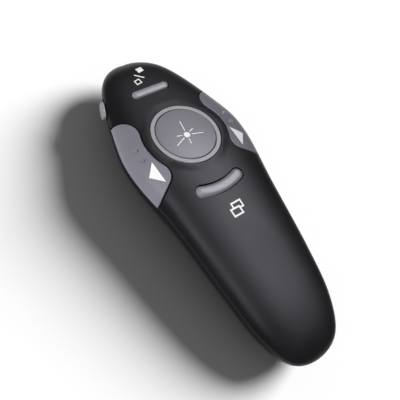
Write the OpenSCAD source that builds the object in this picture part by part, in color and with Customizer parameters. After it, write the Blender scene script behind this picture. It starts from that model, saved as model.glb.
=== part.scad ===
// Wireless presentation clicker, millimetres.
// The underside rests on z = 0, +Y points to the nose and +X to the object's right.

/* [Body] */
// Length of the body ahead of the AAA cell
front_len = 52.3; // [51:0.1:58]
// Room in the tail behind the cell's rear contact
tail_room = 5.5; // [5.2:0.1:8]
// Greatest width, across the page keys
body_w = 41; // [40:0.5:46]
// Height of the crown above the seam at the widest place
crown_h = 5.3; // [5:0.1:6.5]
// Depth of the belly below the seam at its deepest place
belly_h = 15.2; // [15:0.1:17]
// Height of the seam line at its highest place
seam_h = 14.7; // [14.5:0.1:16]
// Squareness of the upper half of a section, 2 being an ellipse
crown_power = 2.45; // [2.2:0.05:2.6]
// Squareness of the lower half of a section
belly_power = 1.8; // [1.7:0.05:2]
// Wall of the two covers
wall = 1.6; // [1.4:0.1:1.8]
// Gap between the two covers along the seam
seam_gap = 0.15; // [0.1:0.05:0.25]

/* [Laser button and ring] */
// Distance of the ring's centre from the nose
ring_from_nose = 33; // [32:0.5:36]
// Height of the ring's face at its centre
ring_face_z = 18.8; // [18.6:0.1:19.6]
// Tilt of the ring's face down towards the nose
ring_tilt = 8; // [6:0.5:9]
// Outer radius of the ring
ring_r = 10.5; // [10.2:0.1:10.8]
// Width of the ring's face
ring_w = 1.3; // [1.2:0.1:1.5]
// Thickness of the ring
ring_t = 1.2; // [1:0.1:1.3]
// Travel of every button and of the switches below them
press_travel = 0.4; // [0.3:0.05:0.5]
// Clearance round a button in its opening
button_gap = 0.2; // [0.15:0.05:0.25]

/* [Page keys] */
// Radius of the keys' inner edge about the ring's centre
key_inner_r = 13.55; // [13.3:0.05:13.8]
// Radius of the rounded corner at the nose end
key_front_r = 4.8; // [4.4:0.1:5.2]
// Radius of the rounded corner at the tail end
key_rear_r = 3.7; // [3.4:0.1:4]
// Thickness of the key's skin
key_wall = 1.5; // [1.3:0.1:1.6]
// Clearance between a key and the cover
key_gap = 0.25; // [0.2:0.05:0.35]
// Height of a key's lower edge above the seam
key_edge_gap = 0.4; // [0.4:0.05:0.6]
// Radius of a key's pivot pin
key_pin_r = 0.7; // [0.6:0.05:0.8]

/* [Small buttons] */
// Distance of the black-screen button from the nose
pill_from_nose = 14.8; // [14.5:0.1:15.2]
// Length of the black-screen button
pill_len = 12.7; // [12:0.1:13.2]
// Width of the black-screen button
pill_w = 2.6; // [2.4:0.1:2.8]
// Distance of the window button's middle from the ring's centre
bow_from_ring = 18.8; // [18.5:0.1:19.2]
// Width of the window button
bow_w = 3.6; // [3.4:0.1:3.8]
// Radius of the window button's curve
bow_r = 20; // [18:0.5:22]
// Half of the angle that the window button spans
bow_half_angle = 19.2; // [18:0.2:20]
// Height of the buttons' crests above the cover
button_proud = 0.5; // [0.4:0.05:0.6]

/* [Power switch] */
// Distance of the sliding knob from the nose
knob_from_nose = 14; // [13.8:0.1:14.4]
// Height of the knob's middle
knob_z = 12.3; // [12.2:0.1:12.6]
// Length of the knob
knob_len = 5.6; // [5:0.1:6]
// Travel of the knob
knob_travel = 2; // [1.6:0.1:2.2]

/* [Laser] */
// Height of the beam
beam_z = 8.7; // [8.5:0.1:8.8]
// Radius of the laser barrel
barrel_r = 3; // [2.8:0.05:3.1]
// Length of the laser barrel
barrel_len = 10.5; // [9:0.5:11]
// Outer radius of the aperture bezel
bezel_r = 2.9; // [2.6:0.1:3]

/* [Board] */
// Height of the board's upper face
board_top = 12.95; // [12.9:0.05:13.1]
// Thickness of the board
board_t = 1; // [0.8:0.1:1]
// Margin between the board's edge and the outside of the body
board_inset = 3.4; // [3.2:0.1:3.8]
// Height of a key switch's case
switch_case_h = 1.4; // [1.3:0.05:1.5]
// Height of a key switch's plunger above the board
plunger_h = 2; // [1.9:0.05:2.1]
// Running clearance round a plunger
plunger_fit = 0.1; // [0.08:0.01:0.1]

/* [Battery] */
// Radius of the AAA cell
cell_r = 5.25; // [5.1:0.05:5.25]
// Length of the AAA cell with its nub
cell_len = 44.5; // [43.5:0.1:44.5]
// Height of the cell's axis
cell_z = 6.5; // [6.45:0.05:6.6]
// Half-width of the battery door
door_half_w = 9.2; // [9:0.1:9.6]
// Greatest height of the battery door's edges
door_top = 5; // [4.8:0.1:5.4]
// Clearance round the battery door
door_gap = 0.2; // [0.15:0.05:0.3]

/* [Receiver] */
// Width of the receiver's housing
receiver_w = 14.6; // [14:0.1:15]
// Length of the receiver's housing
receiver_len = 9; // [8:0.5:9.5]
// Height of the receiver's housing
receiver_h = 6.4; // [6.2:0.1:6.8]
// Clearance round the receiver in its bay
receiver_gap = 0.3; // [0.2:0.05:0.4]

/* [Screws] */
// Radius of the case screws' shafts
screw_r = 1; // [0.9:0.05:1.1]
// Radius of the case screws' heads
screw_head_r = 1.9; // [1.8:0.1:2]
// Height of a screw's head
screw_head_h = 1.2; // [1:0.1:1.3]

/* [Hidden] */

$fn = 48;
big = 200;
touch = 0.02;

// Body stations from tail to nose, as shares of: length, half-width, crown, belly, seam height
STATIONS = [
    [0.000, 0.000, 0.00, 0.00, 0.667],
    [0.028, 0.415, 0.35, 0.49, 0.714],
    [0.123, 0.654, 0.49, 0.82, 0.816],
    [0.264, 0.766, 0.60, 0.91, 0.912],
    [0.462, 0.868, 0.70, 1.00, 1.000],
    [0.637, 1.000, 1.00, 0.97, 0.983],
    [0.755, 0.917, 0.82, 0.93, 0.929],
    [0.942, 0.534, 0.55, 0.52, 0.765],
    [1.000, 0.000, 0.00, 0.00, 0.633]
];
last = len(STATIONS) - 1;
END = 0.02;

// The cell, its contacts and the room at both ends make up the body's length
contact_t = 0.4;
spring_len = 3.3;
body_len = tail_room + contact_t + spring_len + cell_len + front_len;

nose_y = body_len / 2;
tail_y = -body_len / 2;
cell_front = nose_y - front_len;
ring_y = nose_y - ring_from_nose;

plum_grey = [0.47, 0.46, 0.51];
satin_black = [0.11, 0.11, 0.12];

// ---- Skin of the body -------------------------------------------------------

// Beyond an end, widths and heights change sign and places mirror, so the ends come out round
function station(k, i) =
    let (s = (k == 0 || k == 4) ? 1 : -1)
    i < 0 ? s * STATIONS[-i][k] : i > last ? s * STATIONS[2 * last - i][k] : STATIONS[i][k];

function through(a, b, c, d, f) =
    0.5 * (2 * b + (c - a) * f + (2 * a - 5 * b + 4 * c - d) * f * f
        + (3 * b - a - 3 * c + d) * f * f * f);

function share(k, t) =
    let (i = min(floor(t), last - 1))
    through(station(k, i - 1), station(k, i), station(k, i + 1), station(k, i + 2), t - i);

function along(t) =
    t < last / 2 ? tail_y + body_len * share(0, t)
        : nose_y - body_len * (1 - share(0, t));
function half_w(t) = body_w / 2 * share(1, t);
function crown(t) = crown_h * share(2, t);
function belly(t) = belly_h * share(3, t);
function seam_z(t) = seam_h * share(4, t);

// The station number at a place along the body, found by halving
function station_at(y, a = 0, b = last, n = 20) =
    n == 0 ? (a + b) / 2
        : along((a + b) / 2) < y ? station_at(y, (a + b) / 2, b, n - 1)
        : station_at(y, a, (a + b) / 2, n - 1);

function root(v, p) = sign(v) * pow(abs(v), 1 / p);
function skin_x(t, a, inset) =
    let (p = sin(a) >= 0 ? crown_power : belly_power)
    (half_w(t) - inset) * root(cos(a) * abs(cos(a)), p);
function skin_z(t, a, inset) =
    sin(a) >= 0
        ? seam_z(t) + (crown(t) - inset) * root(sin(a) * abs(sin(a)), crown_power)
        : seam_z(t) + (belly(t) - inset) * root(sin(a) * abs(sin(a)), belly_power);

// Outside height of the crown, and of the belly, over a place in plan
function crown_z(x, y) =
    let (t = station_at(y), q = min(1, abs(x) / half_w(t)))
    seam_z(t) + crown(t) * pow(1 - pow(q, crown_power), 1 / crown_power);
function belly_z(x, y) =
    let (t = station_at(y), q = min(1, abs(x) / half_w(t)))
    max(0, seam_z(t) - belly(t) * pow(1 - pow(q, belly_power), 1 / belly_power));

// A stretch of the body from station t0 to t1 and from angle a0 to a1 round its section,
// inset from the outside. A stretch that goes less than half way round closes on its axis.
module stretch(t0, t1, a0, a1, inset = 0, rings = 12, arcs = 12) {
    hub = a1 - a0 < 180;
    points = [
        for (i = [0 : rings])
            let (t = t0 + (t1 - t0) * i / rings)
            each concat(
                [for (j = [0 : arcs])
                    let (a = a0 + (a1 - a0) * j / arcs)
                    [skin_x(t, a, inset), along(t), skin_z(t, a, inset)]],
                hub ? [[0, along(t), seam_z(t)]] : [])
    ];
    n = arcs + (hub ? 2 : 1);
    polyhedron(points, faces = concat(
        [[for (j = [n - 1 : -1 : 0]) j]],
        [[for (j = [0 : n - 1]) rings * n + j]],
        [for (i = [0 : rings - 1], j = [0 : n - 1])
            [i * n + j, (i + 1) * n + (j + 1) % n, (i + 1) * n + j]],
        [for (i = [0 : rings - 1], j = [0 : n - 1])
            [i * n + j, i * n + (j + 1) % n, (i + 1) * n + (j + 1) % n]]));
}

// Facets of the body: rings from tail to nose, and arcs over more than half of a section
RINGS = 32;
ARCS = 27;
UPPER_FROM = -20;
LOWER_FROM = 160;
HALF_SWEEP = 220;
ring_step = (last - 2 * END) / RINGS;
arc_step = HALF_SWEEP / ARCS;

module upper_body(inset = 0, t0 = END, t1 = last - END, rings = RINGS)
    stretch(t0, t1, UPPER_FROM, UPPER_FROM + HALF_SWEEP, inset, rings, ARCS);
module lower_body(inset = 0, t0 = END, t1 = last - END, rings = RINGS)
    stretch(t0, t1, LOWER_FROM, LOWER_FROM + HALF_SWEEP, inset, rings, ARCS);

// Part of the body's skin that shares the covers' own facets, between two places along it
module skin_patch(y0, y1, from, arc0, arc1) {
    i0 = max(0, floor((station_at(y0) - END) / ring_step));
    i1 = min(RINGS, ceil((station_at(y1) - END) / ring_step));
    stretch(END + i0 * ring_step, END + i1 * ring_step,
        from + arc0 * arc_step, from + arc1 * arc_step, 0, i1 - i0, arc1 - arc0);
}

// The hollow inside the covers, whose ends stop a little more than a wall short of the skin
HOLLOW = [station_at(tail_y + 2.4 * wall), station_at(nose_y - 2.4 * wall)];

// Everything above, or below, the seam line moved by a height
module seam_side(up, shift) {
    steps = 4 * last;
    line = [for (i = [0 : steps])
        let (t = last * i / steps) [along(t), seam_z(t) + shift]];
    far = up ? big : -big;
    rotate([90, 0, 90])
        translate([0, 0, -big / 2])
            linear_extrude(big)
                polygon(concat(
                    [[-big, far], [-big, line[0][1]]], line,
                    [[big, line[steps][1]], [big, far]]));
}
module above_seam(shift) seam_side(true, shift);
module below_seam(shift) seam_side(false, shift);

module box_between(low, high) translate(low) cube(high - low);
module above_rest_plane(height = 0) box_between([-big, -big, height], [big, big, big]);
module sides() for (s = [-1, 1]) scale([s, 1, 1]) children();

// ---- Ring frame and openings ---------------------------------------------------

// Places its children with z = 0 on the ring's face
module at_ring() translate([0, ring_y, ring_face_z]) rotate([-ring_tilt, 0, 0]) children();

ring_bore_r = ring_r - ring_w;
disc_r = ring_bore_r - button_gap;
seat_bore_r = ring_bore_r + 0.55;
ring_fit = 0.05;
boss_depth = 2.3;
boss_r = ring_r + 1.4;

// Points of an arc from angle a to b
function arc_points(centre, r, a, b, steps) =
    [for (i = [0 : steps])
        let (g = a + (b - a) * i / steps) [centre[0] + r * cos(g), centre[1] + r * sin(g)]];
function polar(r, a) = [r * cos(a), r * sin(a)];

// Angles about the ring's centre at which the inner edge meets the two corners, and the
// direction of the edge that runs out to the key's tail
key_front_angle = 23.4;
key_rear_angle = -28;
key_rear_edge = -35;
key_out_x = 30;

// Outline of the right key seen from above, about the ring's centre, grown by a margin
function key_outline(grow) =
    let (
        front = polar(key_inner_r + key_front_r, key_front_angle),
        rear = polar(key_inner_r + key_rear_r, key_rear_angle),
        rear_end = rear + polar(key_rear_r + grow, key_rear_edge - 90),
        run = key_out_x - rear_end[0])
    concat(
        [[key_out_x, front[1] + key_front_r + grow]],
        arc_points(front, key_front_r + grow, 90, 180 + key_front_angle, 8),
        arc_points([0, 0], key_inner_r - grow, key_front_angle - 5, key_rear_angle + 5, 8),
        arc_points(rear, key_rear_r + grow, 180 + key_rear_angle, 270 + key_rear_edge, 6),
        [[key_out_x, rear_end[1] + run * tan(key_rear_edge)]]);

module key_prism(grow = 0)
    translate([0, ring_y, 0]) linear_extrude(big) polygon(key_outline(grow));

// ---- Small button outlines ---------------------------------------------------------

pill_y = nose_y - pill_from_nose;
pill_half = (pill_len - pill_w) / 2;
pill_crest_z = crown_z(0, pill_y) + button_proud;
bow_y = ring_y - bow_from_ring;
bow_crest_z = crown_z(0, bow_y) + button_proud;

module pill_shape(grow) {
    square([2 * pill_half, pill_w + 2 * grow], center = true);
    for (s = [-1, 1]) translate([s * pill_half, 0]) circle(pill_w / 2 + grow);
}
module pill_prism(grow, low, high)
    translate([0, pill_y, low]) linear_extrude(high - low) pill_shape(grow);

// The window button follows an arc whose centre lies towards the ring
module bow_prism(grow, low, high) {
    turn = -90 - bow_half_angle;
    translate([0, bow_y + bow_r, low]) {
        rotate([0, 0, turn]) rotate_extrude(angle = 2 * bow_half_angle)
            translate([bow_r - bow_w / 2 - grow, 0]) square([bow_w + 2 * grow, high - low]);
        for (s = [-1, 1]) rotate([0, 0, -90 + s * bow_half_angle])
            translate([bow_r, 0, 0]) cylinder(r = bow_w / 2 + grow, h = high - low);
    }
}

// ---- Board layout ---------------------------------------------------------------------

board_low = board_top - board_t;
board_y0 = ring_y - 19.6;
board_y1 = nose_y - 12.1;
plunger_top = board_top + plunger_h;
key_press_x = body_w / 2 - 5.5;
key_press_y = ring_y - 7;
laser_press_y = ring_y - (ring_face_z - plunger_top) * tan(ring_tilt);
pill_press_y = pill_y - 0.6;
window_press_y = bow_y + 0.9;
// Place of each key switch, and which of its sides is the longer one
SWITCHES = [
    [0, laser_press_y, 0], [0, pill_press_y, 0], [0, window_press_y, 0],
    [-key_press_x, key_press_y, 90], [key_press_x, key_press_y, 90]
];
switch_len = 4.2;
switch_w = 3.2;
plunger_r = 0.8;
plunger_bore_r = plunger_r + plunger_fit;
plunger_foot = board_top + switch_case_h - 0.55;

front_screw = [receiver_w / 2 + 2, ring_y + 12];
rear_screw = [body_w / 2 - 7.1, board_y0 - 4.2];
board_screw = [body_w / 2 - 8.5, board_y0 + 5.2];
screw_hole_gap = 0.2;
pilot_fit = 0.02;

// ---- Power switch frame -----------------------------------------------------------------

knob_y = nose_y - knob_from_nose;
knob_t = station_at(knob_y);
knob_side_x = half_w(knob_t);
knob_lead = 1;
knob_turn = atan((half_w(station_at(knob_y - knob_lead)) - half_w(station_at(knob_y + knob_lead)))
    / (2 * knob_lead));

// Places its children on the left flank: +Y along the slide to the nose, +X inwards
module at_knob()
    translate([-knob_side_x, knob_y, knob_z]) rotate([0, 0, -knob_turn]) children();

knob_gap = 0.2;
knob_proud = 1.1;
knob_h = 2.8;
stem_half_l = 1;
stem_low = -1.2;
stem_high = 0.1;
slot_clear = 0.25;

// ---- Battery and receiver layout -----------------------------------------------------------

nub_len = 0.8;
nub_r = 1.9;
cell_rear = cell_front - cell_len;
negative_y = cell_rear - spring_len - contact_t;
bay_half_w = cell_r + 0.5;
bay_wall = 1;
bay_top = cell_z + 2.9;
door_front = cell_front + contact_t + 1.3;
receiver_y0 = door_front + 2.6;
receiver_y1 = receiver_y0 + receiver_len;
plug_w = 12;
plug_h = 4.5;
plug_len = 12.3;
plug_wall = 0.3;
plug_z = receiver_h / 2 + 0.1;
receiver_end = receiver_y1 + plug_len;
receiver_lift = 0.1;
pocket_wall = 1;

// ---- Covers -----------------------------------------------------------------------------------

// Hinge of the page keys
pin_y = ring_y + 9.9;
pin_z = 13.95;
pin_fit = 0.05;
lug_x0 = 13.3;
lug_x1 = 14.5;
lug_gap = 0.15;
ear_t = 0.75;
ear_low = pin_z - 0.85;
ear_back = pin_y - 1.3;
ear_front = pin_y + 4.1;
pin_x0 = lug_x0 - lug_gap - ear_t;
pin_x1 = lug_x1 + lug_gap + ear_t;

// Two ears that carry a key's pin, rooted in the cover just ahead of the key
module key_ears()
    for (x = [pin_x0, lug_x1 + lug_gap])
        difference() {
            union() {
                intersection() {
                    box_between([x, ear_back, ear_low], [x + ear_t, ear_front, pin_z + 1.1]);
                    stretch(5, 7.5, -60, 110, key_wall + 0.3, 8, 8);
                }
                intersection() {
                    box_between([x, ring_y + key_outline(key_gap)[0][1] + 0.1, ear_low],
                        [x + ear_t, ear_front, ring_face_z]);
                    stretch(5, 7.5, -60, 110, 0.5, 8, 8);
                }
            }
            translate([x - 1, pin_y, pin_z]) rotate([0, 90, 0])
                cylinder(r = key_pin_r + pin_fit, h = ear_t + 2);
        }

module post(place, r, low, high)
    translate([place[0], place[1], low]) cylinder(r = r, h = high - low);

// Clearance between the upper cover's bosses and tabs and the inside of the lower cover
inner_gap = 0.12;

module screw_boss(place, r, low)
    difference() {
        post(place, r, low, crown_z(place[0], place[1]) - wall / 2);
        post(place, screw_r + pilot_fit, low - 1, crown_z(place[0], place[1]) - wall - 0.6);
    }

// Where bosses may stand: into the upper wall, and clear of the lower cover below the seam
module boss_room() {
    lower_body(wall + inner_gap, HOLLOW[0], HOLLOW[1], 14);
    intersection() {
        upper_body(wall / 2, HOLLOW[0], HOLLOW[1], 16);
        above_seam(0.2);
    }
}

front_boss_r = 2.3;
rear_boss_low = 10.6;
tab_places = [[tail_y + 17, 2.2], [cell_front - 16.7, 2.2], [nose_y - 8.4, 2]];

// Tabs inside the rim that keep the two covers in line: rooted in the upper wall, clear of the lower
module locating_tabs()
    for (place = tab_places)
        let (t = station_at(place[0]), x = half_w(t) - wall,
            t0 = max(1, t - 0.6), t1 = min(last - 0.8, t + 0.6))
        sides() {
            intersection() {
                box_between([x - 1.4, place[0] - place[1], seam_z(t) + 0.4],
                    [x + 1, place[0] + place[1], seam_z(t) + 1.4]);
                stretch(t0, t1, -60, 110, wall - 0.3, 6, 10);
            }
            intersection() {
                box_between([x - 1.4, place[0] - place[1], seam_z(t) - 1.4],
                    [x + 1, place[0] + place[1], seam_z(t) + 0.5]);
                stretch(t0, t1, -60, 110, wall + inner_gap, 6, 10);
            }
        }

module top_cover()
    color(satin_black)
    difference() {
        union() {
            difference() {
                intersection() {
                    upper_body();
                    above_seam(seam_gap / 2);
                }
                upper_body(wall, HOLLOW[0], HOLLOW[1], 28);
                sides() key_prism(key_gap);
            }
            intersection() {
                union() {
                    at_ring() translate([0, 0, -boss_depth]) cylinder(r = boss_r, h = boss_depth - 0.5);
                    sides() {
                        screw_boss(front_screw, front_boss_r, board_top);
                        screw_boss(board_screw, front_boss_r - 0.4, board_top);
                        screw_boss(rear_screw, front_boss_r, rear_boss_low);
                    }
                }
                boss_room();
            }
            sides() key_ears();
            locating_tabs();
        }
        at_ring() {
            translate([0, 0, -ring_t]) cylinder(r = ring_r + ring_fit, h = 5);
            translate([0, 0, -5]) cylinder(r = seat_bore_r, h = 10);
        }
        pill_prism(button_gap, board_top, big);
        bow_prism(button_gap, board_top, big);
        knob_slot();
        bezel_hole();
    }

module knob_slot()
    at_knob()
        box_between([-3, -stem_half_l - slot_clear, stem_low - slot_clear],
            [wall + 1.2, stem_half_l + knob_travel + slot_clear, stem_high + slot_clear]);

module bezel_hole()
    translate([0, nose_y - 8, beam_z]) rotate([-90, 0, 0]) cylinder(r = bezel_r + ring_fit, h = 20);

module bottom_cover()
    color(satin_black)
    difference() {
        union() {
            difference() {
                intersection() {
                    lower_body();
                    below_seam(-seam_gap / 2);
                    above_rest_plane();
                }
                intersection() {
                    lower_body(wall, HOLLOW[0], HOLLOW[1], 28);
                    above_rest_plane(wall);
                }
            }
            intersection() {
                cover_ribs();
                lower_body(wall / 2, HOLLOW[0], HOLLOW[1], 16);
                below_seam(-seam_gap / 2);
            }
        }
        box_between([-door_half_w - door_gap, -big, -1],
            [door_half_w + door_gap, door_front + door_gap, door_top + door_gap]);
        receiver_pocket();
        box_between([-latch_half_w - latch_gap, door_front, latch_low - latch_gap],
            [latch_half_w + latch_gap, door_front + latch_reach + latch_gap, latch_top + latch_gap]);
        for (s = [-1, 1]) {
            screw_way([s * front_screw[0], front_screw[1]]);
            screw_way([s * rear_screw[0], rear_screw[1]]);
        }
        knob_slot();
        bezel_hole();
    }

head_sink = 0.3;
// Height of a case screw head's outer face, a little inside the skin all round
function head_z(place) = belly_z(abs(place[0]) + screw_head_r, place[1]) + head_sink;

// Sunk way for a screw's head, and the hole for its shaft
module screw_way(place) {
    post(place, screw_head_r + screw_hole_gap, -1, head_z(place) + screw_head_h);
    post(place, screw_r + screw_hole_gap, -1, big);
}

// Walls that rise from the lower cover's floor
module cover_ribs() {
    half = receiver_w / 2 + receiver_gap + pocket_wall;
    // Battery bay: two long walls and an end wall at each contact
    sides() box_between([bay_half_w, negative_y - 0.8, 0], [bay_half_w + bay_wall, door_front, bay_top]);
    box_between([-bay_half_w - bay_wall, negative_y - 1, door_top + door_gap],
        [bay_half_w + bay_wall, negative_y, bay_top]);
    box_between([-bay_half_w - bay_wall, cell_front + contact_t, 0],
        [bay_half_w + bay_wall, receiver_y0 - receiver_gap - pocket_wall + touch, 10.6]);
    // Receiver bay
    difference() {
        box_between([-half, receiver_y0 - receiver_gap - pocket_wall, 0],
            [half, receiver_end + receiver_gap + pocket_wall, receiver_h + receiver_gap + pocket_wall]);
        receiver_pocket();
    }
    // Posts under the board and round the case screws
    for (s = [-1, 1]) {
        post([s * front_screw[0], front_screw[1]], front_boss_r + 0.6, 0, board_low);
        post([s * rear_screw[0], rear_screw[1]], front_boss_r + 0.4, 0, rear_boss_low);
    }
    // Cradle under the laser barrel
    difference() {
        for (y = [barrel_y0 + 1.2, barrel_y1 - 2.2])
            box_between([-barrel_r - 1, y, 0], [barrel_r + 1, y + 1, beam_z]);
        translate([0, barrel_y0 - 1, beam_z]) rotate([-90, 0, 0])
            cylinder(r = barrel_r, h = barrel_len + 2);
    }
}

module receiver_pocket() {
    half = receiver_w / 2 + receiver_gap;
    box_between([-half, receiver_y0 - receiver_gap, -1],
        [half, receiver_end + receiver_gap, receiver_h + receiver_gap]);
    // Scoop for a fingernail
    translate([half, (receiver_y0 + receiver_y1) / 2, 0]) sphere(2.6);
}

latch_half_w = 3;
latch_reach = 1.1;
latch_gap = 0.15;
latch_low = 0.55;
latch_top = 1.05;
cell_clear = 0.1;

// Sliding door over the cell, with a latch tongue at its front edge and a ribbed thumb grip
module battery_door() {
    grip_pitch = 1.6;
    color(satin_black)
    union() {
        difference() {
            intersection() {
                skin_patch(tail_y, door_front + 1, LOWER_FROM, 3, ARCS - 3);
                above_rest_plane();
                box_between([-door_half_w, -big, -1], [door_half_w, door_front, door_top]);
            }
            intersection() {
                stretch(HOLLOW[0], station_at(door_front) + 0.3, 185, 355, wall - 0.4, 18, 16);
                above_rest_plane(wall - 0.5);
            }
            for (i = [0 : 4])
                box_between([-4, door_front - 5 - i * grip_pitch - 0.7, -1],
                    [4, door_front - 5 - i * grip_pitch, 0.3]);
            along_cell(cell_rear) cylinder(r = cell_r + cell_clear, h = cell_len);
        }
        box_between([-latch_half_w, door_front - touch, latch_low],
            [latch_half_w, door_front + latch_reach, latch_top]);
    }
}

// ---- Pieces on the top ------------------------------------------------------------------------

module laser_ring()
    color([0.6, 0.6, 0.6])
    at_ring() rotate_extrude($fn = 96) {
        polygon([
            [ring_bore_r, -ring_t], [ring_r, -ring_t], [ring_r, -0.2],
            [ring_r - 0.2, 0], [ring_bore_r + 0.2, 0], [ring_bore_r, -0.2]]);
    }

skirt_t = 0.8;
flange_top = boss_depth + 0.1;
flange_t = 0.7;

module laser_button()
    color(plum_grey)
    at_ring() {
        rotate_extrude($fn = 96)
            polygon([
                [0, -1.4], [disc_r - skirt_t, -1.4], [disc_r - skirt_t, -flange_top - flange_t],
                [seat_bore_r + 0.5, -flange_top - flange_t], [seat_bore_r + 0.5, -flange_top],
                [disc_r, -flange_top], [disc_r, -0.2], [disc_r - 0.2, 0], [0, 0]]);
        laser_post();
    }

// Post down to the plunger, cut level with the plunger's top
module laser_post()
    difference() {
        translate([0, 0, -5]) cylinder(r = 1.4, h = 4);
        rotate([ring_tilt, 0, 0]) translate([0, 0, plunger_top - ring_face_z - 5])
            cube([20, 20, 10], center = true);
    }

module black_screen_button()
    color(plum_grey) {
        crest_r = pill_w / 2;
        low = board_top + press_travel + 0.2;
        union() {
            intersection() {
                pill_prism(0, pill_crest_z - crest_r, pill_crest_z);
                pill_crest(crest_r);
            }
            difference() {
                pill_prism(0, low, pill_crest_z - crest_r + touch);
                box_between([-pill_half + 1.2, pill_y - 4, -1],
                    [pill_half - 1.2, pill_y + 4, plunger_top + 0.3]);
            }
            // Tabs at both ends that keep the button in the cover
            intersection() {
                sides() box_between([pill_half - 0.8, pill_y - crest_r - 0.6, low],
                    [pill_half + 2, pill_y + crest_r + 0.6, low + 0.5]);
                stretch(6, 7.8, -60, 240, wall + inner_gap, 12, 24);
            }
            post([0, pill_press_y], 0.7, plunger_top, plunger_top + 0.6);
        }
    }

// Bar with a round back along X, whose ends are round too
module pill_crest(r)
    translate([0, pill_y, pill_crest_z - r]) {
        rotate([0, 90, 0]) cylinder(r = r, h = 2 * pill_half, center = true);
        for (s = [-1, 1]) translate([s * pill_half, 0, 0]) sphere(r);
    }

bow_flange_low = crown_z(0, bow_y) - wall - 1.1;

module window_button()
    color(plum_grey) {
        r = bow_w / 2;
        turn = -90 - bow_half_angle;
        union() {
            bow_prism(0, bow_flange_low, bow_crest_z - r);
            bow_prism(0.6, bow_flange_low, bow_flange_low + 0.6);
            translate([0, bow_y + bow_r, bow_crest_z - r]) {
                rotate([0, 0, turn]) rotate_extrude(angle = 2 * bow_half_angle)
                    translate([bow_r, 0]) circle(r);
                for (s = [-1, 1]) rotate([0, 0, -90 + s * bow_half_angle])
                    translate([bow_r, 0, 0]) sphere(r);
            }
            post([0, window_press_y], 1, plunger_top, bow_flange_low + 0.3);
        }
    }

key_post_gap = 0.04;
dot_r = 0.45;
dot_x = body_w / 2 - 4.5;

// Right page key: a piece of the body's skin, with its pivot lug, press post and two dots
module page_key() {
    t0 = station_at(ring_y - 19);
    t1 = station_at(ring_y + 14);
    union() {
        difference() {
            intersection() {
                skin_patch(ring_y - 19, ring_y + 14, UPPER_FROM, 0, 16);
                key_prism();
                above_seam(key_edge_gap);
            }
            stretch(t0 - 0.2, t1 + 0.2, -50, 120, key_wall, 16, 18);
        }
        intersection() {
            box_between([lug_x0, pin_y - 0.8, pin_z - 0.75], [lug_x1, pin_y + 0.75, pin_z + 4]);
            stretch(t0, t1, -40, 110, key_wall / 2, 8, 12);
            key_prism();
        }
        intersection() {
            translate([pin_x0, pin_y, pin_z]) rotate([0, 90, 0])
                cylinder(r = key_pin_r, h = pin_x1 - pin_x0);
            stretch(t0, t1, -40, 110, key_wall + 0.1, 8, 12);
        }
        post([key_press_x, key_press_y], 1.1, plunger_top + key_post_gap,
            crown_z(key_press_x, key_press_y) - key_wall / 2);
        for (y = [ring_y + 1.6, ring_y - 1.9])
            translate([dot_x, y, crown_z(dot_x, y) - 0.25]) sphere(dot_r, $fn = 24);
    }
}
module next_page_key() color(plum_grey) page_key();
module previous_page_key() color(plum_grey) mirror([1, 0, 0]) page_key();

module power_slide_knob()
    color([0.62, 0.62, 0.64])
    at_knob() {
        intersection() {
            box_between([-knob_gap - knob_proud, -knob_len / 2, -knob_h / 2],
                [-knob_gap, knob_len / 2, knob_h / 2]);
            translate([7 - knob_gap - knob_proud, 0, 0]) cylinder(r = 7, h = 10, center = true);
        }
        box_between([-knob_gap - 0.3, -stem_half_l, stem_low], [wall + 1, stem_half_l, stem_high]);
    }

// ---- Laser ----------------------------------------------------------------------------------------

barrel_y1 = nose_y - 6.3;
barrel_y0 = barrel_y1 - barrel_len;

module along_beam(y) translate([0, y, beam_z]) rotate([-90, 0, 0]) children();

module laser_barrel()
    color([0.78, 0.62, 0.3])
    along_beam(barrel_y0)
        difference() {
            cylinder(r = barrel_r, h = barrel_len);
            translate([0, 0, 1.2]) cylinder(r = barrel_r - 0.7, h = barrel_len);
            translate([0, 0, -1]) cylinder(r = 1.6, h = 3);
        }

module laser_lens()
    color([0.8, 0.85, 0.9])
    along_beam(barrel_y1 - 2.4)
        rotate_extrude()
            polygon([[0, 0], [barrel_r - 0.7, 0], [barrel_r - 0.7, 0.9],
                [1.6, 1.1], [0.9, 1.3], [0, 1.4]]);

module laser_diode()
    color([0.75, 0.72, 0.6]) {
        along_beam(barrel_y0 + 1.2) {
            cylinder(r = barrel_r - 0.75, h = 0.9);
            cylinder(r = 1.4, h = 2.6);
        }
        for (x = [-0.8, 0.8]) translate([x, 0, 0]) along_beam(barrel_y0 - 1.6)
            cylinder(r = 0.22, h = 2.9);
    }

bezel_back = barrel_y1;
window_y = nose_y - 3.2;

module aperture_bezel()
    color([0.2, 0.2, 0.21])
    difference() {
        intersection() {
            along_beam(bezel_back) cylinder(r = bezel_r, h = 20);
            stretch(6, last - END, 0, 359.9, 0, 10, 30);
        }
        along_beam(bezel_back - 1) cylinder(r = bezel_r - 0.9, h = 20);
        along_beam(window_y) cylinder(r = bezel_r - 0.6, h = 20);
    }

module laser_window()
    color([0.7, 0.15, 0.15])
    along_beam(window_y) cylinder(r = bezel_r - 0.6, h = 1);

// ---- Board -----------------------------------------------------------------------------------------

module main_board()
    color([0.1, 0.35, 0.2])
    difference() {
        translate([0, 0, board_low]) linear_extrude(board_t) {
            t0 = station_at(board_y0);
            t1 = station_at(board_y1);
            edge = [for (i = [0 : 12])
                let (t = t0 + (t1 - t0) * i / 12) [half_w(t) - board_inset, along(t)]];
            polygon(concat(edge, [for (i = [12 : -1 : 0]) [-edge[i][0], edge[i][1]]]));
        }
        for (s = [-1, 1]) {
            post([s * front_screw[0], front_screw[1]], screw_r + screw_hole_gap, 0, big);
            post([s * board_screw[0], board_screw[1]], screw_r, 0, big);
        }
    }

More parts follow.
